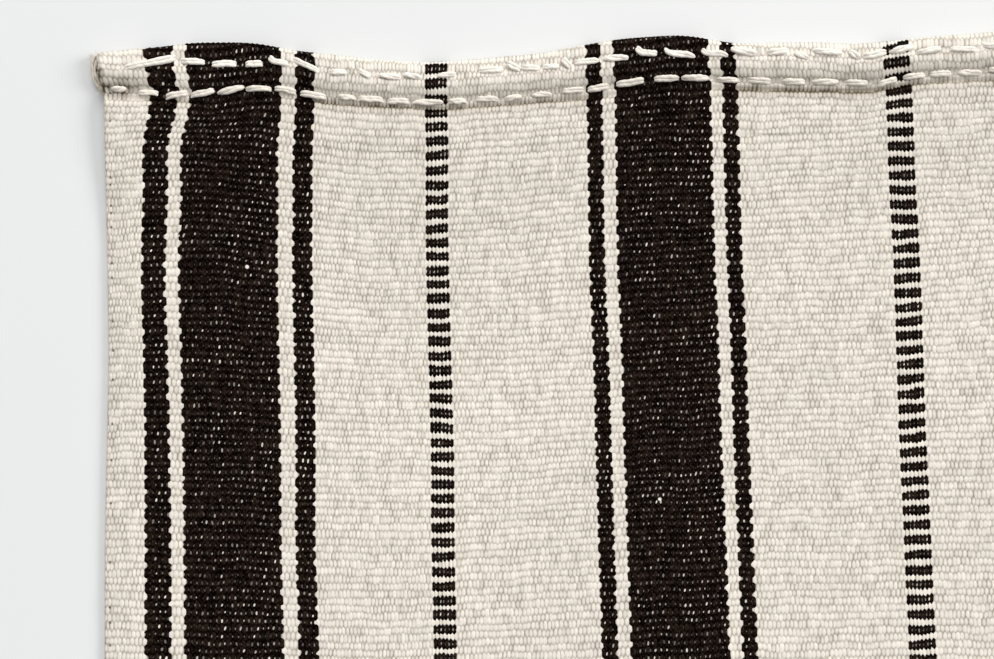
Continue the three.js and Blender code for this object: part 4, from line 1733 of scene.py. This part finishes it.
@dataclass(frozen=True)
class Studio:
    """Plain pale floor, soft light and the camera."""

    floor_half: float = 30.0  # metres
    floor_colour: tuple = linear(229, 230, 230)
    floor_dull: tuple = (0.81, 0.825, 0.84, 1.0)  # painted shade: how much darker the floor is towards -X, as if the light fell off that way
    falloff_reach: tuple = (-1.1, 0.8)  # metres of that way
    camera_distance: float = 1.6
    camera_tilt: float = 10.35  # degrees from straight down
    camera_turn: float = 1.287  # the rug lies turned by this much in the picture, in degrees
    target: tuple = (-0.202, 1.0515, 0.0)
    lens: float = 118.1
    suns: tuple = (
        # name, degrees from +X towards +Y, degrees over the floor, spread in degrees, strength
        ("soft_key", 91.0, 36.0, 44.0, 2.5),
        ("soft_side", 6.0, 30.0, 30.0, 2.0),
        ("soft_fill", 185.0, 62.0, 110.0, 0.75),
    )
    sky_strength: float = 0.2

    def floor(self) -> bpy.types.Object:
        """Makes the floor and its pale, faintly mottled finish, with painted shade that makes it slowly darker to one
        side.
        """
        mesh = bpy.data.meshes.new("floor")
        h = self.floor_half
        mesh.from_pydata([(-h, -h, 0), (h, -h, 0), (h, h, 0), (-h, h, 0)], [], [(0, 1, 2, 3)])
        made = bpy.data.objects.new("floor", mesh)
        bpy.context.scene.collection.objects.link(made)
        material, g, shader = new_material("pale_floor")
        place = g.node("ShaderNodeTexCoord").outputs["Object"]
        mottle = g.noise(place, 3.0, 3.0)[0]
        deep = tuple(0.98 * v for v in self.floor_colour[:3]) + (1.0,)
        base = g.colour(g.map(mottle, 0.3, 0.7, 0.0, 1.0), deep, self.floor_colour)
        x, y, _ = g.parts(place)
        # Painted shade: the floor darkens towards -X, as if the light fell off that way.
        away = g.math("SUBTRACT", g.math("MULTIPLY", x, -1.0), g.math("MULTIPLY", y, 0.5))
        base = g.colour(g.map(away, *self.falloff_reach, 0.0, 1.0, soft=True), base, self.floor_dull, "MULTIPLY")
        g.feed(shader.inputs["Base Color"], base)
        shader.inputs["Roughness"].default_value = 0.6
        shader.inputs["Specular IOR Level"].default_value = 0.2
        mesh.materials.append(material)
        return made

    def camera(self) -> bpy.types.Object:
        """Makes the camera: it looks down at the rug's far left corner, from a little towards -Y."""
        tilt, turn = math.radians(self.camera_tilt), math.radians(self.camera_turn)
        ground_up = Vector((math.sin(turn), math.cos(turn), 0.0))
        back = -math.sin(tilt) * ground_up + math.cos(tilt) * Vector((0.0, 0.0, 1.0))
        up = math.cos(tilt) * ground_up + math.sin(tilt) * Vector((0.0, 0.0, 1.0))
        right = up.cross(back)
        data = bpy.data.cameras.new("camera")
        data.lens = self.lens
        data.sensor_width = 36.0
        data.clip_start, data.clip_end = 0.05, 200.0
        made = bpy.data.objects.new("camera", data)
        bpy.context.scene.collection.objects.link(made)
        turned = Matrix((right, up, back)).transposed().to_4x4()
        made.matrix_world = Matrix.Translation(Vector(self.target) + self.camera_distance * back) @ turned
        bpy.context.scene.camera = made
        return made

    def _sun(self, name: str, turn: float, height: float, spread: float, strength: float) -> None:
        """Makes one sun lamp.

        Args:
            name: of the lamp.
            turn: degrees from +X towards +Y.
            height: degrees over the floor.
            spread: how wide it looks from the floor, in degrees.
            strength: of its light.
        """
        data = bpy.data.lights.new(name, "SUN")
        data.energy = strength
        data.angle = math.radians(spread)
        data.color = (1.0, 0.99, 0.975)
        made = bpy.data.objects.new(name, data)
        bpy.context.scene.collection.objects.link(made)
        turn, height = math.radians(turn), math.radians(height)
        towards = Vector((math.cos(turn) * math.cos(height), math.sin(turn) * math.cos(height), math.sin(height)))
        made.matrix_world = towards.to_track_quat("Z", "Y").to_matrix().to_4x4()

    def lights(self) -> None:
        """Makes a wide soft lamp from the far side, a wider weak one from the left and a pale sky all round."""
        for lamp in self.suns:
            self._sun(*lamp)
        world = bpy.data.worlds.new("pale_sky")
        world.use_nodes = True
        sky = world.node_tree.nodes["Background"]
        sky.inputs["Color"].default_value = (0.97, 0.985, 1.0, 1.0)
        sky.inputs["Strength"].default_value = self.sky_strength
        bpy.context.scene.world = world

    def build(self) -> None:
        """Sets up the floor, the lights, the camera and a plain view of colour."""
        self.floor()
        self.camera()
        self.lights()
        bpy.context.scene.view_settings.view_transform = "Standard"


def report(piece: bpy.types.Object) -> None:
    """Logs a piece's name and how many triangles it has."""
    piece.data.calc_loop_triangles()
    log.info("%s: %d triangles", piece.name, len(piece.data.loop_triangles))


def main() -> None:
    """Builds the studio, the cloth, its sewing and the frayed corners."""
    logging.basicConfig(level=logging.INFO, format="%(name)s %(message)s")
    Studio().build()
    fibre = YarnFibre().group()
    hem = HemSize()
    form = ClothForm(hem)
    plan = [
        SewingRow(end, row, hem, seed)
        for seed, (end, row) in enumerate([(e, r) for e in End for r in Row], start=5)
    ]
    dents = SewingDents(plan)
    cloth = RugCloth(form, dents).build()
    cloth.data.materials.append(HempClothFinish(WarpFacedWeave().group(), fibre).material())
    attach(cloth, "root")
    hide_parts(NODE)
    report(cloth)
    yarns = {row: SewingYarnFinish(fibre, row).material() for row in Row}
    raw = FrayFinish(fibre).material()
    trims = []
    for row in plan:
        sewn = RunningStitches(form, row, dents).build()
        sewn.data.materials.append(yarns[row.row])
        trims.append(sewn)
    for seed, (end, side, fibres) in enumerate(
        [(End.FAR, -1, 75), (End.FAR, 1, 40), (End.NEAR, -1, 45), (End.NEAR, 1, 40)], start=61
    ):
        loose = LOOSE_YARNS if end is End.FAR and side < 0 else ()
        frayed = FrayedCorner(form, end, side, fibres, seed, loose).build()
        frayed.data.materials.append(raw)
        trims.append(frayed)
    for trim in trims:
        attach(trim, "root")
        report(trim)
    log.info("cut length %.1f mm, %d picks of %.3f mm", form.total, form.picks, form.pitch)


if __name__ == "__main__":
    main()
